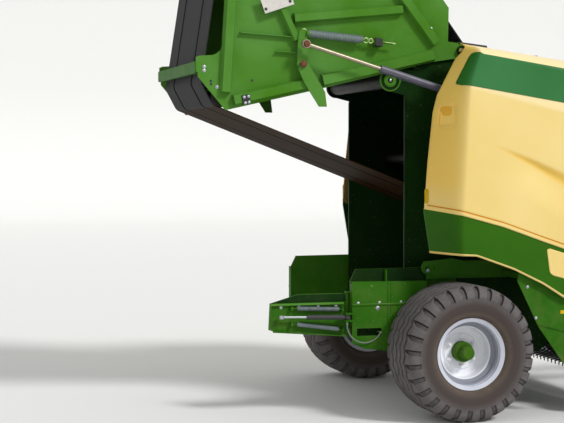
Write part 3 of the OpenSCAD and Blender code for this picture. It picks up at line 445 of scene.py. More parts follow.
def lean_line(x, z):
    """Height above the line from which the skin leans in, under the band."""
    return z - (2259 - 0.232 * x)


print("hinge edge from", cover_top(110), "to", round(cover_top(1260)), "mm")


# %% Form of the cover's skin
def smoothstep(x, low, high):
    """0 below low, 1 above high, and 3 t^2 - 2 t^3 between them."""
    t = np.clip((np.asarray(x, float) - low) / (high - low), 0, 1)
    return t * t * (3 - 2 * t)


def cover_form(x, z, on_panel):
    """Distance of the skin from the machine's middle, which is 1200 less the turn-ins, the swage, the step and the
    scoop, and the shares of painted shade and painted light there. The turn behind the crease is 290 (sqrt(r^2 + e) -
    sqrt(e))
    / (sqrt(1 + e) - sqrt(e)), with r from 0 to 1. Above the lean line the skin leans in by 1 in 22 and gets painted
    light, a paler tone."""
    r = np.clip((read(crease, z) - x) / (read(crease, z) - read(rear_edge, z)), 0, 1)
    e = 0.2
    rear = (np.sqrt(r * r + e) - e ** 0.5) / ((1 + e) ** 0.5 - e ** 0.5)
    line, high, low, fore = read(swage, x), read(swage_high, x), read(swage_low, x), read(front_edge, z)
    top = np.clip(((z - line) / (cover_top(x) - line) - 0.83) / 0.17, 0, 1)
    front = np.clip((x - 0.78 * fore) / (0.22 * fore), 0, 1)
    below = (high - z) / (high - low)
    swaged = smoothstep(x, 150, 650) * smoothstep(below, 0, 1) * (1 - smoothstep(low - z, 10, 270))
    scoop = smoothstep(r, 0.38, 0.52) * (1 - smoothstep(r, 0.76, 0.86)) \
        * smoothstep(z, 1985, 2025) * (1 - smoothstep(z, 2136, 2152))
    lean = np.maximum(0, np.hypot(np.maximum(0, lean_line(x, z)), 12) - 12) / 22
    over = z - read(border, x)
    groove = smoothstep(over, 20, 24) * (1 - smoothstep(over, 28, 32))
    depth = cover_out - rear_turn * rear * (1 - 0.6 * top) - front_turn * front ** 2 * (1 - top) \
        - top_roll * top ** 3.2 * (1 - 0.45 * rear) - swage_in * swaged - scoop_in * scoop \
        - np.where(on_panel, 0, foot_step) - groove_in * groove - lean * (1 - top)
    # Painted shade: a deeper tone behind the crease, on the faces under the swage and along the top of the grip's
    # hollow.
    drawn_turn = 0.8 * smoothstep(r, 0.0, 0.5) * (1 - 0.6 * smoothstep(z, 1640, 1480))
    drawn_swage = 0.85 * smoothstep(x, 150, 420) * smoothstep(below, 0, 0.4) * (1 - smoothstep(below, 0.9, 1.5))
    drawn = np.maximum(np.maximum(drawn_turn, drawn_swage), scoop * smoothstep(z, 2040, 2150))
    # Painted light: a paler tone above the lean line, where the skin tilts up towards the light.
    pale = 0.8 * smoothstep(lean_line(x, z), -12, 26) * (1 - rear)
    return depth, drawn, pale


print("hollow of the grip", round(cover_form(0, 2100, True)[0] - cover_form(-90, 2100, True)[0]), "mm in")


# %% Grid of the cover's skin
def note(made, name, values):
    """Keeps a number for each point of a piece, for its material to read."""
    made.data.attributes.new(name, "FLOAT", "POINT").data.foreach_set("value", np.asarray(values, np.float32).ravel())


def thicken(made, name, thickness):
    """Gives a sheet a wall under its outer face, by Solidify."""
    wall = made.modifiers.new(name, "SOLIDIFY")
    wall.thickness = thickness
    wall.offset = -1
    return wall


def cover_skin():
    """Grid of the skin: columns share the way rear edge - crease - front edge, rows bottom - border - top.
    The first rows above the border are 3 mm apart, so that the groove along it shows."""
    along = np.concatenate([np.linspace(0, 1, rear_columns + 1)[:-1], 1 + np.linspace(0, 1, side_columns)])
    on_panel = (np.arange(foot_rows + panel_rows) >= foot_rows)[:, None]
    share = np.concatenate([np.linspace(0, 1, foot_rows), np.linspace(0, 0.027, 11),
                            np.linspace(0.027, 1, panel_rows - 10)[1:]])[:, None]
    z = np.broadcast_to(np.linspace(1129, 2568, len(share))[:, None], (len(share), len(along)))
    for _ in range(4):
        bent, rear, front = read(crease, z), read(rear_edge, z), read(front_edge, z)
        x = np.where(along <= 1, rear + (bent - rear) * along, bent + (front - bent) * (along - 1))
        low = np.where(on_panel, read(border, x), read(bottom_edge, x))
        high = np.where(on_panel, cover_top(x), read(border, x) - 5)
        z = low + (high - low) * share
    y, drawn, pale = cover_form(x, z, on_panel)
    return (at(x, y, z), quads(*x.shape)[:, ::-1]), drawn, pale


skin, skin_drawn, skin_painted_light = cover_skin()
skin_row = np.arange(len(skin[1])) // (rear_columns + side_columns - 1)
for side, made in place_both("cover_skin", skin, [cream_moulding, green_moulding], "cover_SIDE", 50).items():
    # Shares of painted shade and painted light, kept on each point for the moulding to read.
    note(made, "drawn", skin_drawn)
    note(made, "pale", skin_painted_light)
    made.data.polygons.foreach_set("material_index", ((skin_row > 0) & (skin_row < foot_rows - 1)).astype(np.int32))
    thicken(made, "wall", 0.007).use_even_offset = True
    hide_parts("cover_" + side)

# %% [markdown]
# ### Band, inset, grip and marker
# The green band is a film laid on the upper part of the cover, with rounded corners and a rear end that
# follows the cover's slant. It carries no lettering here. A patch is mapped onto the skin by its (x, z) and
# stands a millimetre or so proud of it.

# %% Films on the skin
def unit(v):
    """v divided by its length, along the last axis."""
    v = np.asarray(v, float)
    return v / np.linalg.norm(v, axis=-1, keepdims=True)


def film(x, z, proud, material, name):
    """A sheet laid on the skin over a grid of (x, z). It stands proud along the skin's own normal, so its y is raised
    by proud times sqrt(1 + slope^2), the slope being taken from the skin 1 mm ahead and 1 mm above."""
    on_panel = z >= read(border, x)
    y, drawn, _ = cover_form(x, z, on_panel)
    slope = (cover_form(x + 1, z, on_panel)[0] - y) ** 2 + (cover_form(x, z + 1, on_panel)[0] - y) ** 2
    form = at(x, y + proud * np.minimum(np.sqrt(1 + slope), 6), z), quads(*x.shape)[:, ::-1]
    for made in place_both(name, form, material, "cover_SIDE", 60).values():
        note(made, "drawn", drawn)
        thicken(made, "film", 0.002)


def patch(corners, corner_r, proud, material, name, count, lift=0):
    """A four-cornered film, corners given as (x, z) round from lower rear; its ends are rounded by shortening each
    row near top and bottom by r - sqrt(r^2 - d^2), d being how far it is into the corner. The upper rear corner may
    be lifted over the last 50 mm."""
    a, b, c, d = np.array(corners, float)
    t = np.linspace(0, 1, count[1])[:, None]
    left, right = a + (d - a) * t, b + (c - b) * t
    into = np.clip(corner_r - np.minimum(t, 1 - t) * np.linalg.norm(d - a), 0, corner_r)
    cut = unit(right - left) * (corner_r - np.sqrt(np.maximum(corner_r ** 2 - into ** 2, 0)))
    left, right = left + cut, right - cut
    s = np.linspace(0, 1, count[0])[None, :, None]
    x, z = np.moveaxis(left[:, None] + (right - left)[:, None] * s, -1, 0)
    film(x, z + lift * t * smoothstep(x, d[0] + 50, d[0]), proud, material, name)


patch([(-46, 2284), (1120, 2101), (1085, 2346), (66, 2497)], 20, 3.0, band_film, "cover_band", (180, 48), lift=14)
# Painted light over the grip's hollow, and painted shade at its top.
patch([(-124, 1992), (-64, 1992), (-58, 2144), (-118, 2144)], 18, 0.6, grip_painted_light, "cover_grip", (14, 24))
patch([(-104, 2074), (-70, 2074), (-64, 2140), (-108, 2140)], 14, 1.2, grip_shade, "cover_grip_shade", (10, 14))
patch([(610, 985), (1060, 860), (1080, 1022), (583, 1172)], 26, 2.0, cream_moulding, "cover_inset", (60, 20))
patch([(-205, 1474), (-190, 1474), (-187, 1572), (-206, 1572)], 3, 1.5, marker_film, "cover_marker", (6, 10))
# Painted shade: a thin orange strip in the groove above the border.
groove_x = np.broadcast_to(np.linspace(-195, 1440, 200)[None, :], (4, 200))
film(groove_x, read(border, groove_x) + np.linspace(21.5, 30.5, 4)[:, None], 0.4, border_groove_shade, "cover_groove")

# %% [markdown]
# ## Tyres
# An implement tyre of this kind has a nearly flat tread: five zigzag grooves part it into ribs, and each
# shoulder is cut into 28 lugs that wrap a hand's breadth down the sidewall. The tyre is a profile carried
# round the axle. The relief is a function of the angle and of the distance across, taken off along the
# carcass's own normal. The lengths here are in metres.

# %% Profile of the tyre
lugs = 28
steps_per_lug = 24
tyre_low, tyre_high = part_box("tyre_left")
wheel_y, wheel_z = (tyre_low[1] + tyre_high[1]) / 2, (tyre_low[2] + tyre_high[2]) / 2
tyre_r, tyre_h = (tyre_high[2] - tyre_low[2]) / 2, (tyre_high[1] - tyre_low[1]) / 2
bead_r = 0.2275
groove_lines = (-0.150, -0.075, 0.0, 0.075, 0.150)
zigzag, groove_depth, notch_depth = 0.014, 0.012, 0.015


def rounded(points, times):
    """Corner cutting: each pass replaces a corner by two points a quarter of the way along its sides."""
    p = np.asarray(points, float)
    for _ in range(times):
        a, b = p[:-1], p[1:]
        q = np.stack([0.75 * a + 0.25 * b, 0.25 * a + 0.75 * b], 1).reshape(-1, 2)
        p = np.concatenate([p[:1], q, p[-1:]])
    return p


def resampled(p, count):
    """Points at even steps along a line, by interpolation over its length."""
    s = np.concatenate([[0], np.cumsum(np.linalg.norm(np.diff(p, axis=0), axis=1))])
    t = np.linspace(0, s[-1], count)
    return np.stack([np.interp(t, s, p[:, k]) for k in range(p.shape[1])], 1)


flank = [[bead_r, 0.174], [0.2475, 0.1945], [0.262, 0.226], [0.30, tyre_h - 0.004], [tyre_r - 0.115, tyre_h - 0.0005],
         [tyre_r - 0.075, tyre_h - 0.002], [tyre_r - 0.040, tyre_h - 0.012], [tyre_r - 0.010, tyre_h - 0.042],
         [tyre_r - 0.002, tyre_h - 0.078], [tyre_r, tyre_h - 0.11]]
flank = resampled(rounded(flank, 3), 48)
tread_line = np.stack([np.full(63, tyre_r), np.linspace(tyre_h - 0.11, 0.11 - tyre_h, 65)[1:-1]], 1)
outline = np.concatenate([flank, tread_line, (flank * (1, -1))[::-1]])
lining = np.array([[bead_r, 0.174], [bead_r + 0.004, 0.15], [bead_r + 0.06, 0.2], [tyre_r - 0.05, 0.2],
                   [tyre_r - 0.04, 0.1]])
lining = rounded(np.concatenate([lining, (lining * (1, -1))[::-1]]), 1)[1:-1][::-1]
print("tyre radius", round(tyre_r, 4), "half width", round(tyre_h, 4), "profile of", len(outline), "points")


# %% Relief of the tyre
def tyre_relief(angle, r, y):
    """Depth cut from the carcass, and the share of painted shade: full in the grooves, a quarter on notch floors,
    and painted shadow along notch walls. A groove follows its line y = centre + 14 mm times a triangle
    wave of the lug count. Between lugs the cut is 15 mm, over a share of the pitch that widens from 10 % to 38 %."""
    phase = (angle * lugs / (2 * np.pi)) % 1
    wave = 2 * np.abs(2 * phase - 1) - 1
    grooves = [1 - smoothstep(np.abs(y - centre - zigzag * wave * (1 if centre >= 0 else -1)), 0.0065, 0.012)
               for centre in groove_lines]
    groove = np.max(grooves, axis=0) * smoothstep(r, tyre_r - 0.006, tyre_r - 0.002)
    fallen = tyre_r - r
    down = np.clip(fallen / 0.088, 0, 1)
    out = np.abs(y) + down * 0.1
    on_shoulder = smoothstep(out, 0.152, 0.168) * (1 - smoothstep(fallen, 0.083, 0.090))
    past = phase - 0.55
    share = 0.10 + 0.28 * smoothstep(out, 0.155, 0.235)
    open_cut = smoothstep(past, 0, 0.035) * (1 - smoothstep(past, share - 0.02, share + 0.03))
    notch = open_cut * on_shoulder
    # Painted shadow: dark lines along the notch walls and on the lee side of each lug.
    walls = 4 * notch * (1 - open_cut)
    lee = notch * (1 - smoothstep(past, 0.05, 0.13))
    ledge = 0.005 * smoothstep(fallen, 0.084, 0.091) * smoothstep(r, 0.262, 0.285)
    ring = 0.0015 * smoothstep(np.abs(r - 0.330), 0.003, 0.001) * (np.abs(y) > 0.2)
    depth = np.maximum(np.maximum(groove_depth * groove, notch_depth * notch * (1 - 0.35 * down)), ledge + ring)
    return depth, np.clip(np.maximum(groove, 0.25 * notch + 0.75 * np.maximum(lee, walls)), 0, 1)


print("middle groove cut by", round(1000 * float(tyre_relief(0.0, tyre_r, zigzag)[0]), 1), "mm")


# %% Mesh of the tyre
def tyre_mesh():
    """Carcass points moved inward along the profile's normal by the relief, for every angle at once."""
    angle = np.linspace(0, 2 * np.pi, lugs * steps_per_lug, endpoint=False)[:, None]
    step = np.gradient(outline, axis=0)
    normal = unit(np.stack([step[:, 1], -step[:, 0]], 1))
    outward = normal[:, 0] * (outline[:, 0] - 0.35) + normal[:, 1] * outline[:, 1]
    normal = np.where(outward[:, None] < 0, -normal, normal)
    cut, recess_shade = tyre_relief(angle, *outline.T)
    carcass = outline - cut[..., None] * normal
    inner = np.broadcast_to(lining, (len(angle), *lining.shape))
    r, y = np.moveaxis(np.concatenate([carcass, inner], 1), -1, 0)
    recess_shade = np.concatenate([recess_shade, np.zeros(inner.shape[:2])], 1)
    points = np.stack([r * np.cos(angle) + axle_x, y + wheel_y, r * np.sin(angle) + wheel_z], -1)
    return (points.reshape(-1, 3), quads(*r.shape, True, True)), recess_shade


tyre, tyre_recess_shade = tyre_mesh()
print(lugs, "lugs a side, and", round(100 * float((tyre_recess_shade > 0.5).mean())), "% of the points lie in the dark")

# %% Tyres and rims
for side, made in place_both("tyre_tread", tyre, [], "wheel_SIDE", 60).items():
    hub = (axle_x, wheel_y if side == "left" else -wheel_y, wheel_z)
    made.data.materials.append(tyre_rubber("tyre_rubber_" + side, hub))
    refinish(nodes["rim_" + side], rim_finish("rim_lacquer_" + side, hub))
    note(made, "recess_shade", tyre_recess_shade)
    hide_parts("tyre_" + side)

# %% [markdown]
# ## Fasteners
# Bolt heads are six-sided with a chamfer and sit on a washer. One head is worked out as a small table of
# rings, then copied to every place at once by adding the places as another axis of the array.

# %% Bolts and screws
def facing_out(points, faces):
    """Turns the quads of a closed form round where its volume, a sixth of the sum of a . (b x c), is negative."""
    p, f = np.asarray(points, float).reshape(-1, 3), np.asarray(faces)
    a, b, c, d = (p[f[:, k]] for k in range(4))
    return p, f if (a * (np.cross(b, c) + np.cross(c, d))).sum() > 0 else f[:, ::-1]


def square_to(way, guide):
    """Two unit vectors square to a direction: way x guide, and way x that."""
    first = unit(np.cross(way, guide))
    return first, np.cross(way, first)


def circle(first, second, sides):
    """Unit circle in the plane of two vectors: cos a first + sin a second, as another axis before the last."""
    a = np.linspace(0, 2 * np.pi, sides, endpoint=False)[:, None]
    return np.cos(a) * np.expand_dims(first, -2) + np.sin(a) * np.expand_dims(second, -2)


def heads(places, outward, size, washer=1.5):
    """Hex heads at places in mm: rings of radius and height times size, turned to the outward direction."""
    places = at(*np.transpose(places))
    sides, out = 12, unit(outward)
    a = np.linspace(0, 2 * np.pi, sides, endpoint=False)
    hexagon = 1 / np.cos((a + np.pi / 6) % (np.pi / 3) - np.pi / 6)
    rings = ((washer, 0.0, 0), (washer, 0.14, 0), (1.0, 0.14, 1), (1.0, 0.72, 1), (0.82, 0.86, 0), (0.0, 0.86, 0))
    round_it = circle(*square_to(out, (0.0, 0.0, 1.0)), sides)
    form = size * np.array([k * (hexagon ** hexed)[:, None] * round_it + h * out for k, h, hexed in rings])
    points = places[:, None, None] + form
    one = quads(len(rings), sides, loop_columns=True)
    faces = one + (np.arange(len(places)) * len(rings) * sides)[:, None, None]
    return facing_out(points, faces.reshape(-1, 4))


def bolted(name, y, places, size, material, body, washer=1.5):
    """Bolt heads at places (x, z) of the plane y, which face out on both sides of the machine."""
    place_both(name, heads([(x, y, z) for x, z in places], (0, 1, 0), size, washer), material, body)


gate_y, lever_y, rod_y = 648, 727, 793
wall_bolts = [(-1700, 2405), (-1701, 2380), (-1610, 2269), (-60, 2700)]
bolted("tailgate_bolts", gate_y, wall_bolts, 0.0085, bolt_zinc, "tailgate")
bolted("lever_pin_head", lever_y, [(-1021, 2431)], 0.019, rust, "tailgate", 1.35)
bolted("rod_pin_head", rod_y, [(-1018, 2564)], 0.018, rust, "lift_rod_SIDE", 1.3)

# %% Turned forms
def turned(profile, centre, count, ring=False):
    """Profile of (radius, distance) in mm, spun about the cross axis through the centre: x = r cos a, z = r sin a.
    A ring's profile joins its own end, any other profile starts and ends on the axis."""
    r, h = np.asarray(profile, float).T
    a = np.linspace(0, 2 * np.pi, count, endpoint=False)[:, None]
    return facing_out(at(centre[0] + r * np.cos(a), h, centre[1] + r * np.sin(a)), quads(count, len(r), True, ring))


def joined(parts):
    """Several (points, quads) as one, with the corner numbers of each moved past those before it."""
    start = np.cumsum([0] + [len(p) for p, _ in parts[:-1]])
    return (np.concatenate([np.reshape(p, (-1, 3)) for p, _ in parts]),
            np.concatenate([f + s for (_, f), s in zip(parts, start)]))


# Painted shade: thin black discs on the wall stand for the dark insides of its holes.
hole = [(0, gate_y - 0.2), (9, gate_y - 0.2), (9, gate_y + 0.6), (0, gate_y + 0.6)]
wall_hole_shades = [turned(hole, centre, 16) for centre in ((-1655, 2309), (-1653, 2288), (-1366, 2317))]
place_both("tailgate_hole_shades", joined(wall_hole_shades), black_rubber, "tailgate")

# %% [markdown]
# ## Springs
# A tension spring is a wire wound close. Its centre line is a helix, and the wire is a tube along it, so a
# point is the axis plus the coil's radius plus the wire's radius, each turned by its own angle. The eyes at
# its ends are rings of wire, and a rod leads on to the anchor plate.

# %% Coil springs
def capped(rings):
    """Rings of points (n, sides, 3) as a closed form: another ring at each end lies all on that ring's middle."""
    first, last = (np.broadcast_to(rings[k].mean(0), rings[:1].shape) for k in (0, -1))
    p = np.concatenate([first, rings, last])
    return facing_out(p, quads(len(p), rings.shape[1], loop_columns=True))


def coil(a, b, coil_r, wire_r, turns, per_turn=18, sides=8):
    """Helix from a to b in mm: axis + coil_r (cos, sin), with a wire of wire_r round it and tails to a and b."""
    a, b = at(*a), at(*b)
    n, m = square_to(unit(b - a), (0.0, 1.0, 0.0))
    t = np.linspace(0, 1, int(turns * per_turn))[:, None]
    swell = coil_r * np.minimum(1, np.minimum(t, 1 - t) * turns * 1.2)
    angle = 2 * np.pi * turns * t
    radial = np.cos(angle) * n + np.sin(angle) * m
    line = a + (b - a) * t + swell * radial
    along = unit(np.gradient(line, axis=0))
    radial = unit(radial - (radial * along).sum(1, keepdims=True) * along)
    return capped(line[:, None] + wire_r * circle(radial, np.cross(along, radial), sides))


for side, y in (("left", 699), ("right", -699)):
    spring = coil((-985, y, 2642.3), (-585, y, 2606.5), 0.0225, 0.0056, 36)
    piece("lever_spring_" + side, *spring, spring_zinc, "tailgate")


# %% Eyes and rods
def tube(path, radius, sides):
    """Circle of radius r carried along a path: point = path + r (cos a N + sin a B), N and B square to the path."""
    path = np.asarray(path, float)
    along = unit(np.gradient(path, axis=0))
    guide = (0.0, 1.0, 0.0) if abs(along[:, 1]).max() < 0.9 else (1.0, 0.0, 0.0)
    r = np.broadcast_to(np.asarray(radius, float), len(path))[:, None, None]
    return capped(path[:, None] + r * circle(*square_to(along, guide), sides))


def wire_ring(middle, radius, wire=0.004):
    """Ring of wire in the side view: a tube along the middle plus r (cos a, sin a), its end on its start."""
    a = np.linspace(0, 2 * np.pi, 25)
    return tube(at(middle[0] + radius * np.cos(a), middle[1], middle[2] + radius * np.sin(a)), wire, 8)


eyes = [wire_ring((-562, 699, 2603), 17), wire_ring((-527, 703, 2600), 15), wire_ring((-1010, 699, 2652), 20),
        tube([at(-513, 700, 2599), at(-430, 700, 2591), at(-345, 700, 2584)], 0.0055, 10)]
place_both("spring_eyes", joined(eyes), pale_zinc, "tailgate")

# %% Plates
def bar(outline, y0, y1, edge=1.0):
    """Flat plate with broken edges: its (x, z) outline at y0 and y1, drawn in by the edge, and closed at its middle."""
    o = np.asarray(outline, float)
    middle = o.mean(0)
    drawn_in = o + unit(middle - o) * edge
    lip = math.copysign(edge, y1 - y0)
    rings = [(middle + 0 * o, y0), (drawn_in, y0), (o, y0 + lip), (o, y1 - lip), (drawn_in, y1), (middle + 0 * o, y1)]
    p = np.stack([at(q[:, 0], y, q[:, 1]) for q, y in rings])
    return facing_out(p, quads(len(rings), len(o), loop_columns=True))


def strip(a, b, width):
    """Corners of a straight bar of the given width from a to b, as (x, z)."""
    a, b = np.array(a, float), np.array(b, float)
    n = unit([a[1] - b[1], b[0] - a[0]]) * width / 2
    return [a + n, b + n, b - n, a - n]


anchor_out = 722
anchor = bar([[-497, 2622], [-497, 2566], [-445, 2560], [-445, 2616]], gate_y + 0.5, anchor_out, 3)
place_both("spring_anchor", anchor, black_rubber, "tailgate")

# %% [markdown]
# ## Free run of the belts
# From the front roller up to the tailgate's lowest roller the three belts hang free, with their brown inner
# side to the ground. A belt is a flat section carried along a straight run.

# %% Free belts
def tangent_run(a, ra, b, rb):
    """Ends of the straight run between two rollers: each centre moved by its radius along their common normal."""
    d = np.subtract(b, a)
    angle = math.atan2(d[1], d[0]) - math.acos((ra - rb) / np.linalg.norm(d))
    n = np.array([math.cos(angle), math.sin(angle)])
    return a + n * ra, b + n * rb, n


def belt_run(start, end, normal, y0, y1, thick=7.4, count=60):
    """Section of a belt, a flat oblong with rounded edges, moved along the run from start to end."""
    along = start + (end - start) * np.linspace(0, 1, count)[:, None]
    across = np.array([0, 0.004, 0.25, 0.5, 0.75, 0.996, 1, 0.996, 0.75, 0.5, 0.25, 0.004])
    out = np.array([0.5, 0, 0, 0, 0, 0, 0.5, 1, 1, 1, 1, 1]) * thick
    x, z = (along[:, k:k + 1] + normal[k] * out for k in (0, 1))
    return capped(at(x, y0 + (y1 - y0) * across, z))


gate_roller, gate_roller_r = (-1590, 2198), 55
front_roller, front_roller_r = (352, 1483), 90
belt_edges = ((-600, -306), (-294, 294), (306, 600))
gate_end, front_end, belt_normal = tangent_run(gate_roller, gate_roller_r, front_roller, front_roller_r)
belts = [belt_run(gate_end, front_end, belt_normal, *edges) for edges in belt_edges]
free_run = piece("belts_free_run", *joined(belts), belt_under)
tuple(at(front_end[0], 0, front_end[1]).tolist())
tuple(at(gate_end[0], 0, gate_end[1]).tolist())
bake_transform(free_run)
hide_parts("free_belts")
print("free run", round(math.dist(gate_end, front_end)), "mm long")

# %% [markdown]
# ## Small parts of the tailgate
# A blank plate stands off the wall near the top of the picture, a cable clamp with four screws sits on the
# lower rib, and the rollers turn in flanged bearings. Flat parts are plates with broken edges, so that they
# catch a thin line of light.

# %% Blank plate, clamp and bearings
plate_in, plate_out = 706, 709
clamp_in, clamp_out = 680, 702
tag = bar([[-1330, 2885], [-1288, 2768], [-1082, 2838], [-1112, 2925]], plate_in, plate_out, 1.5)
place_both("blank_plate", tag, plate_white, "tailgate")
brackets = [bar(strip(a, b, 30), gate_y, plate_in)
            for a, b in (((-1298, 2830), (-1270, 2830)), ((-1136, 2880), (-1112, 2880)))]
place_both("plate_bracket", joined(brackets), green_enamel, "tailgate")
bolted("plate_screws", plate_out, [(-1112, 2858), (-1283, 2800)], 0.007, gear_iron, "tailgate")
clamp = bar([[-1452, 2211], [-1440, 2149], [-1386, 2160], [-1398, 2222]], clamp_in, clamp_out, 4)
place_both("clamp_block", clamp, black_guard, "tailgate")
clamp_screws = [(-1434, 2200), (-1404, 2206), (-1426, 2161), (-1400, 2167)]
bolted("clamp_screws", clamp_out, clamp_screws, 0.007, bolt_zinc, "tailgate")


def bearing(centre, y, size=1.0):
    """Flanged bearing housing: a disc with a raised rim and a boss, spun about the roller's axis."""
    rings = [(0, 0), (78, 0), (78, 4), (72, 7), (64, 4), (42, 4), (36, 9), (20, 9), (17, 8), (0, 8)]
    return turned([(r * size, y + h) for r, h in rings], centre, 48)


gate_bearings = [bearing(centre, gate_y, 0.8) for centre in ((-606, 3549), (-1450, 3460))]
place_both("gate_bearings", joined(gate_bearings), green_enamel, "tailgate")
place_both("rear_roller_bearing", bearing((-356, 2333), 623.2), green_enamel, "chassis")
bolted("rear_roller_end", 631.5, [(-356, 2333)], 0.009, bolt_zinc, "chassis", 1.3)

# %% [markdown]
# ## Covers' knuckles and seal
# Three knuckles carry each cover on its hinge bar, and a black strip seals the rear end of its top edge. A
# knuckle is a short sleeve along the hinge line, which slopes by 147 mm over 1150 mm.

# %% Knuckles and seal strip
hinge_from, hinge_to = np.array([110.0, 770, 2545]), np.array([1260.0, 770, 2398])
hinge_way = unit(hinge_to - hinge_from)


def knuckle(x):
    """Sleeve on the hinge bar at x: a tube of 20 mm radius, and the lug that joins it to the skin above."""
    c = hinge_from + hinge_way * (x - hinge_from[0]) / hinge_way[0]
    sleeve = tube([at(*(c + hinge_way * t)) for t in (-16, -15, 0, 15, 16)], [0.018, 0.020, 0.020, 0.020, 0.018], 20)
    lug = bar([[x - 12, c[2] + 6], [x + 12, c[2] + 6], [x + 12, c[2] + 42], [x - 12, c[2] + 42]], 776, 800, 2)
    return joined([sleeve, lug])


place_both("cover_knuckles", joined([knuckle(x) for x in (300, 680, 1000)]), gear_iron, "cover_SIDE")
seal = bar([[84, 2594], [84, 2582], [283, 2558], [283, 2572]], 800, 850, 3)
place_both("cover_seal", seal, black_rubber, "cover_SIDE")

# %% [markdown]
# ## Side boxes, guide flap and lower panels
# Each box is bolted along its bend line, and a seam of two raised edges shows where its halves meet. Its
# inner sheet lies in shade above the box and behind its slot, and there it is covered by near-black sheets of
# painted shade; the flap's upper face above the fold gets one too. The guide flap's springs are wound wire round a
# core, and its panel is bolted along the fold.

# %% Side boxes
box_y, box_back_y = 794, 743
bolted("box_bolts", box_y, [(-646, 784), (-491, 784), (-333, 784)], 0.0075, bolt_zinc, "chassis")
bolted("box_stud", box_y, [(-550, 900)], 0.007, green_enamel, "chassis")
bolted("box_pin", box_y, [(-504, 748)], 0.0105, bolt_zinc, "chassis")
seam = [bar(strip((x, 480), (x, 922), 5), box_y, box_y + 4) for x in (-428, -405)]
place_both("box_seam", joined(seam), low_shade_enamel, "chassis")
place_both("box_edge", bar(strip((-690, 777), (-142, 777), 5), box_y, box_y + 9), green_enamel, "chassis")
# Painted shade: near-black sheets laid on the inner sheet above the box and behind its slot.
shaded_sheets = ([[-689, 933], [-650, 1015], [-434, 1017], [-131, 1019], [-131, 928], [-434, 930]],
                 [[-680, 540], [-440, 540], [-440, 624], [-680, 624]])
box_shade_sheets = joined([bar(sheet, box_back_y, box_back_y + 1.5, 0.5) for sheet in shaded_sheets])
place_both("box_painted_shade_sheets", box_shade_sheets, shaded_enamel, "chassis")

# %% Guide flap
flap_y, spring_y = -728, -752
flap_bolts = [(x, flap_y, 762) for x in (-1183, -1053, -916, -786)]
piece("flap_bolts", *heads(flap_bolts, (0, -1, 0), 0.0075), bolt_zinc, "bale_flap")
fold = bar([[-1262, 790], [-1262, 776], [-737, 776], [-737, 790]], flap_y - 20, flap_y - 23)
piece("flap_edges", *fold, green_enamel, "bale_flap")
# Painted shade: a near-black sheet on the flap's upper face above the fold.
flap_shade_sheet = bar([[-1255, 793], [-1062, 847], [-742, 847], [-706, 834], [-706, 793]], flap_y, flap_y - 1.5, 0.5)
piece("flap_painted_shade_sheet", *flap_shade_sheet, shaded_enamel, "bale_flap")
flap_springs = [coil((-1080, spring_y, z0), (-772, spring_y, z1), 0.0125, 0.0032, 46)
                for z0, z1 in ((754, 742), (646, 604))]
piece("flap_springs", *joined(flap_springs), spring_zinc, "bale_flap")

# %% Front corners
def front_corner(rows=64, columns=24):
    """Sheet that closes the corner between the hood's edge and the left cover's front edge. At each height it runs
    from (x0, y0) to (x1, y1) as a quarter turn, x0 + (x1 - x0)(1 - cos t) and y0 + (y1 - y0) sin t."""
    height = np.linspace(1236, 2390, rows)[:, None]
    hood = np.array([[1230, 1612], [1300, 1625], [1700, 1600], [2110, 1480], [2364, 1240], [2390, 1036]])
    x0, y0 = read(hood, height) - 9, 738
    x1 = read(front_edge, height) - 14
    y1 = cover_form(x1, height, True)[0] - 30
    t = np.linspace(0, np.pi / 2, columns)
    return at(x0 + (x1 - x0) * (1 - np.cos(t)), y0 + (y1 - y0) * np.sin(t), height), quads(rows, columns)


for made in place_both("front_corner", front_corner(), cream_moulding, "chassis", 60).values():
    thicken(made, "wall", 0.004)

# %% Lower panels
panel_y = 1146
panel_bolts = [(462, 900), (527, 684), (700, 900), (800, 500)]
bolted("panel_bolts", panel_y, panel_bolts, 0.0075, bolt_zinc, "chassis")
place_both("panel_seam", bar(strip((548, 632), (826, 560), 6), panel_y, panel_y + 3), frame_enamel, "chassis")
marker = bar([[712, 708], [742, 708], [742, 732], [712, 732]], panel_y, panel_y + 1.6, 0.6)
place_both("panel_tag", marker, marker_film, "chassis")
bolted("lug_bolt", 800, [(-135, 1000)], 0.009, spring_zinc, "chassis")

# %% [markdown]
# ## Gauge wheels and drive shaft
# The pickup's gauge wheels have a plain ribbed tyre on a dished rim, both spun profiles. The drive shaft
# turns inside a black plastic guard that ends in a ribbed bell at each joint: a tube whose radius grows and
# ripples along its length.

# %% Gauge wheels
gauge_centre = (1085, 235)
gauge_in, gauge_middle, gauge_out = 1075, 1130, 1185
gauge_r, rib_rise, rib_pitch = 186.5, 3.43, 21
rib_steps = np.linspace(gauge_in + 14, gauge_out - 14, 41)
rib_wave = gauge_r + rib_rise * np.sign(np.cos((rib_steps - gauge_middle) * 2 * np.pi / rib_pitch))
gauge_profile = [(104, 1086), (118, 1078), (150, gauge_in + 0.5), (176, 1079), *zip(rib_wave, rib_steps),
                 (176, 1181), (150, gauge_out - 0.5), (118, 1182), (104, 1174), (98, gauge_middle)]
rim_profile = [(15.5, 1079), (28, 1079), (28, 1122), (60, 1134), (84, 1118), (99, 1092), (108, 1086), (108, 1083),
               (112, 1083), (112, 1088), (103, 1094), (103, 1168), (112, 1173), (112, 1177), (108, 1177), (99, 1171),
               (97, 1124), (88, 1128), (62, 1141), (28, 1139), (28, 1181), (15.5, 1181)]
gauge_tyre = turned(gauge_profile, gauge_centre, 96, True)
for side, made in place_both("gauge_tyre", gauge_tyre, black_rubber, "gauge_wheel_SIDE").items():
    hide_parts("gauge_wheel_" + side)
place_both("gauge_rim", turned(rim_profile, gauge_centre, 64, True), rim_lacquer, "gauge_wheel_SIDE")

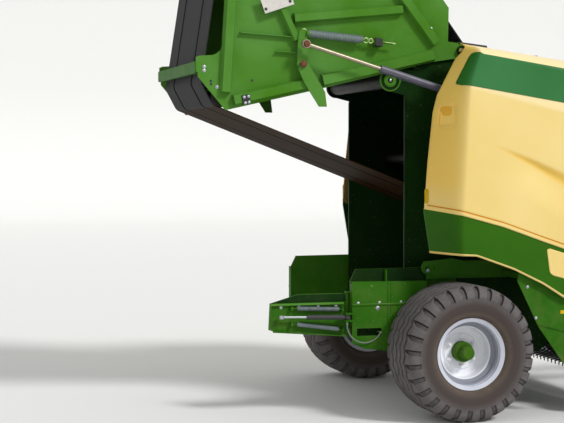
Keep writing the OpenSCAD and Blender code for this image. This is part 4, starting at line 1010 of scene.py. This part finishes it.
# %% Drive shaft bells
shaft_from, shaft_to = np.array([1680.0, 0, 1160]), np.array([2960.0, 0, 805])
shaft_way = unit(shaft_to - shaft_from)


def bell(start, length, small, large):
    """Ribbed bell: radius goes from small to large with a ripple of 2 mm and five waves, and rolls in at its lip."""
    t = np.linspace(0, 1, 61)
    r = small + (large - small) * smoothstep(t, 0, 0.6) + 2 * np.cos(10 * np.pi * t) * (t < 0.95)
    path = shaft_from + shaft_way * (start + length * t)[:, None]
    return tube(at(*path.T), r / 1000, 32)


piece("shaft_bells", *joined([bell(190, -200, 45, 66), bell(1000, 215, 40, 60)]), black_guard, "chassis")

# %% [markdown]
# ## Floor and light
# The floor and the backdrop are one pale sheet. A dim even sky carries most of the light, so a colour
# renders about as it is written, and rays that see the sky itself get the sheet's own tone. One large soft
# lamp stands high in front, on the side that the camera sees, so that faces turned to the rear fall into
# shade as they do in the photograph.

# %% Stage
def pale_stage(columns=60, half_width=60, near=-40, depth=70, bend_r=4, wall_height=40):
    """One grid in metres: flat floor over the first 0.6 of its columns, a quarter circle, and from 0.8 on a wall."""
    s = np.linspace(0, 1, columns)
    flat, turn, wall = (np.clip((s - low) / share, 0, 1) for low, share in ((0.0, 0.6), (0.6, 0.2), (0.8, 0.2)))
    y = near + depth * flat + bend_r * np.sin(turn * np.pi / 2)
    z = bend_r * (1 - np.cos(turn * np.pi / 2)) + wall_height * wall
    x = np.array([[-half_width], [half_width]])
    return np.stack(np.broadcast_arrays(x, y, z), -1).reshape(-1, 3), quads(2, columns)


backdrop = "#e9e9e7"
floor = Finish("pale_floor", 0.1, Roughness=0.9)
floor.surface.inputs["Base Color"].default_value = linear(backdrop)
points, faces = pale_stage()
mesh = bpy.data.meshes.new("stage")
mesh.from_pydata(points.tolist(), [], faces[:, ::-1].tolist())
mesh.materials.append(floor.material)
mesh.shade_smooth()
stage = show("stage", mesh)

# %% Sky and lamp
world = bpy.data.worlds.new("sky")
scene.world = world
world.use_nodes = True
sky = world.node_tree
light = sky.nodes["Background"]
light.inputs["Color"].default_value = linear("#f8f8f8")
light.inputs["Strength"].default_value = 0.6
ray = add(sky, "LightPath").outputs
seen = ray["Is Camera Ray"]
for kind in ("Is Glossy Ray", "Is Transmission Ray"):
    seen = add(sky, "Math", {0: seen, 1: ray[kind]}, operation="MAXIMUM").outputs[0]
pale = add(sky, "Background", {"Color": backdrop, "Strength": 1.0})
either = add(sky, "MixShader", {0: seen, 1: light.outputs[0], 2: pale.outputs[0]})
sky.links.new(either.outputs[0], sky.nodes["World Output"].inputs["Surface"])
key = show("key", bpy.data.lights.new("key", "SUN"))
key.data.energy = 2.0
key.data.angle = math.radians(12)
key.rotation_euler = (math.radians(50), 0, math.radians(34))
scene.view_settings.view_transform = "Standard"
print("stage", len(faces), "faces, lamp of", key.data.energy, "W/m2")
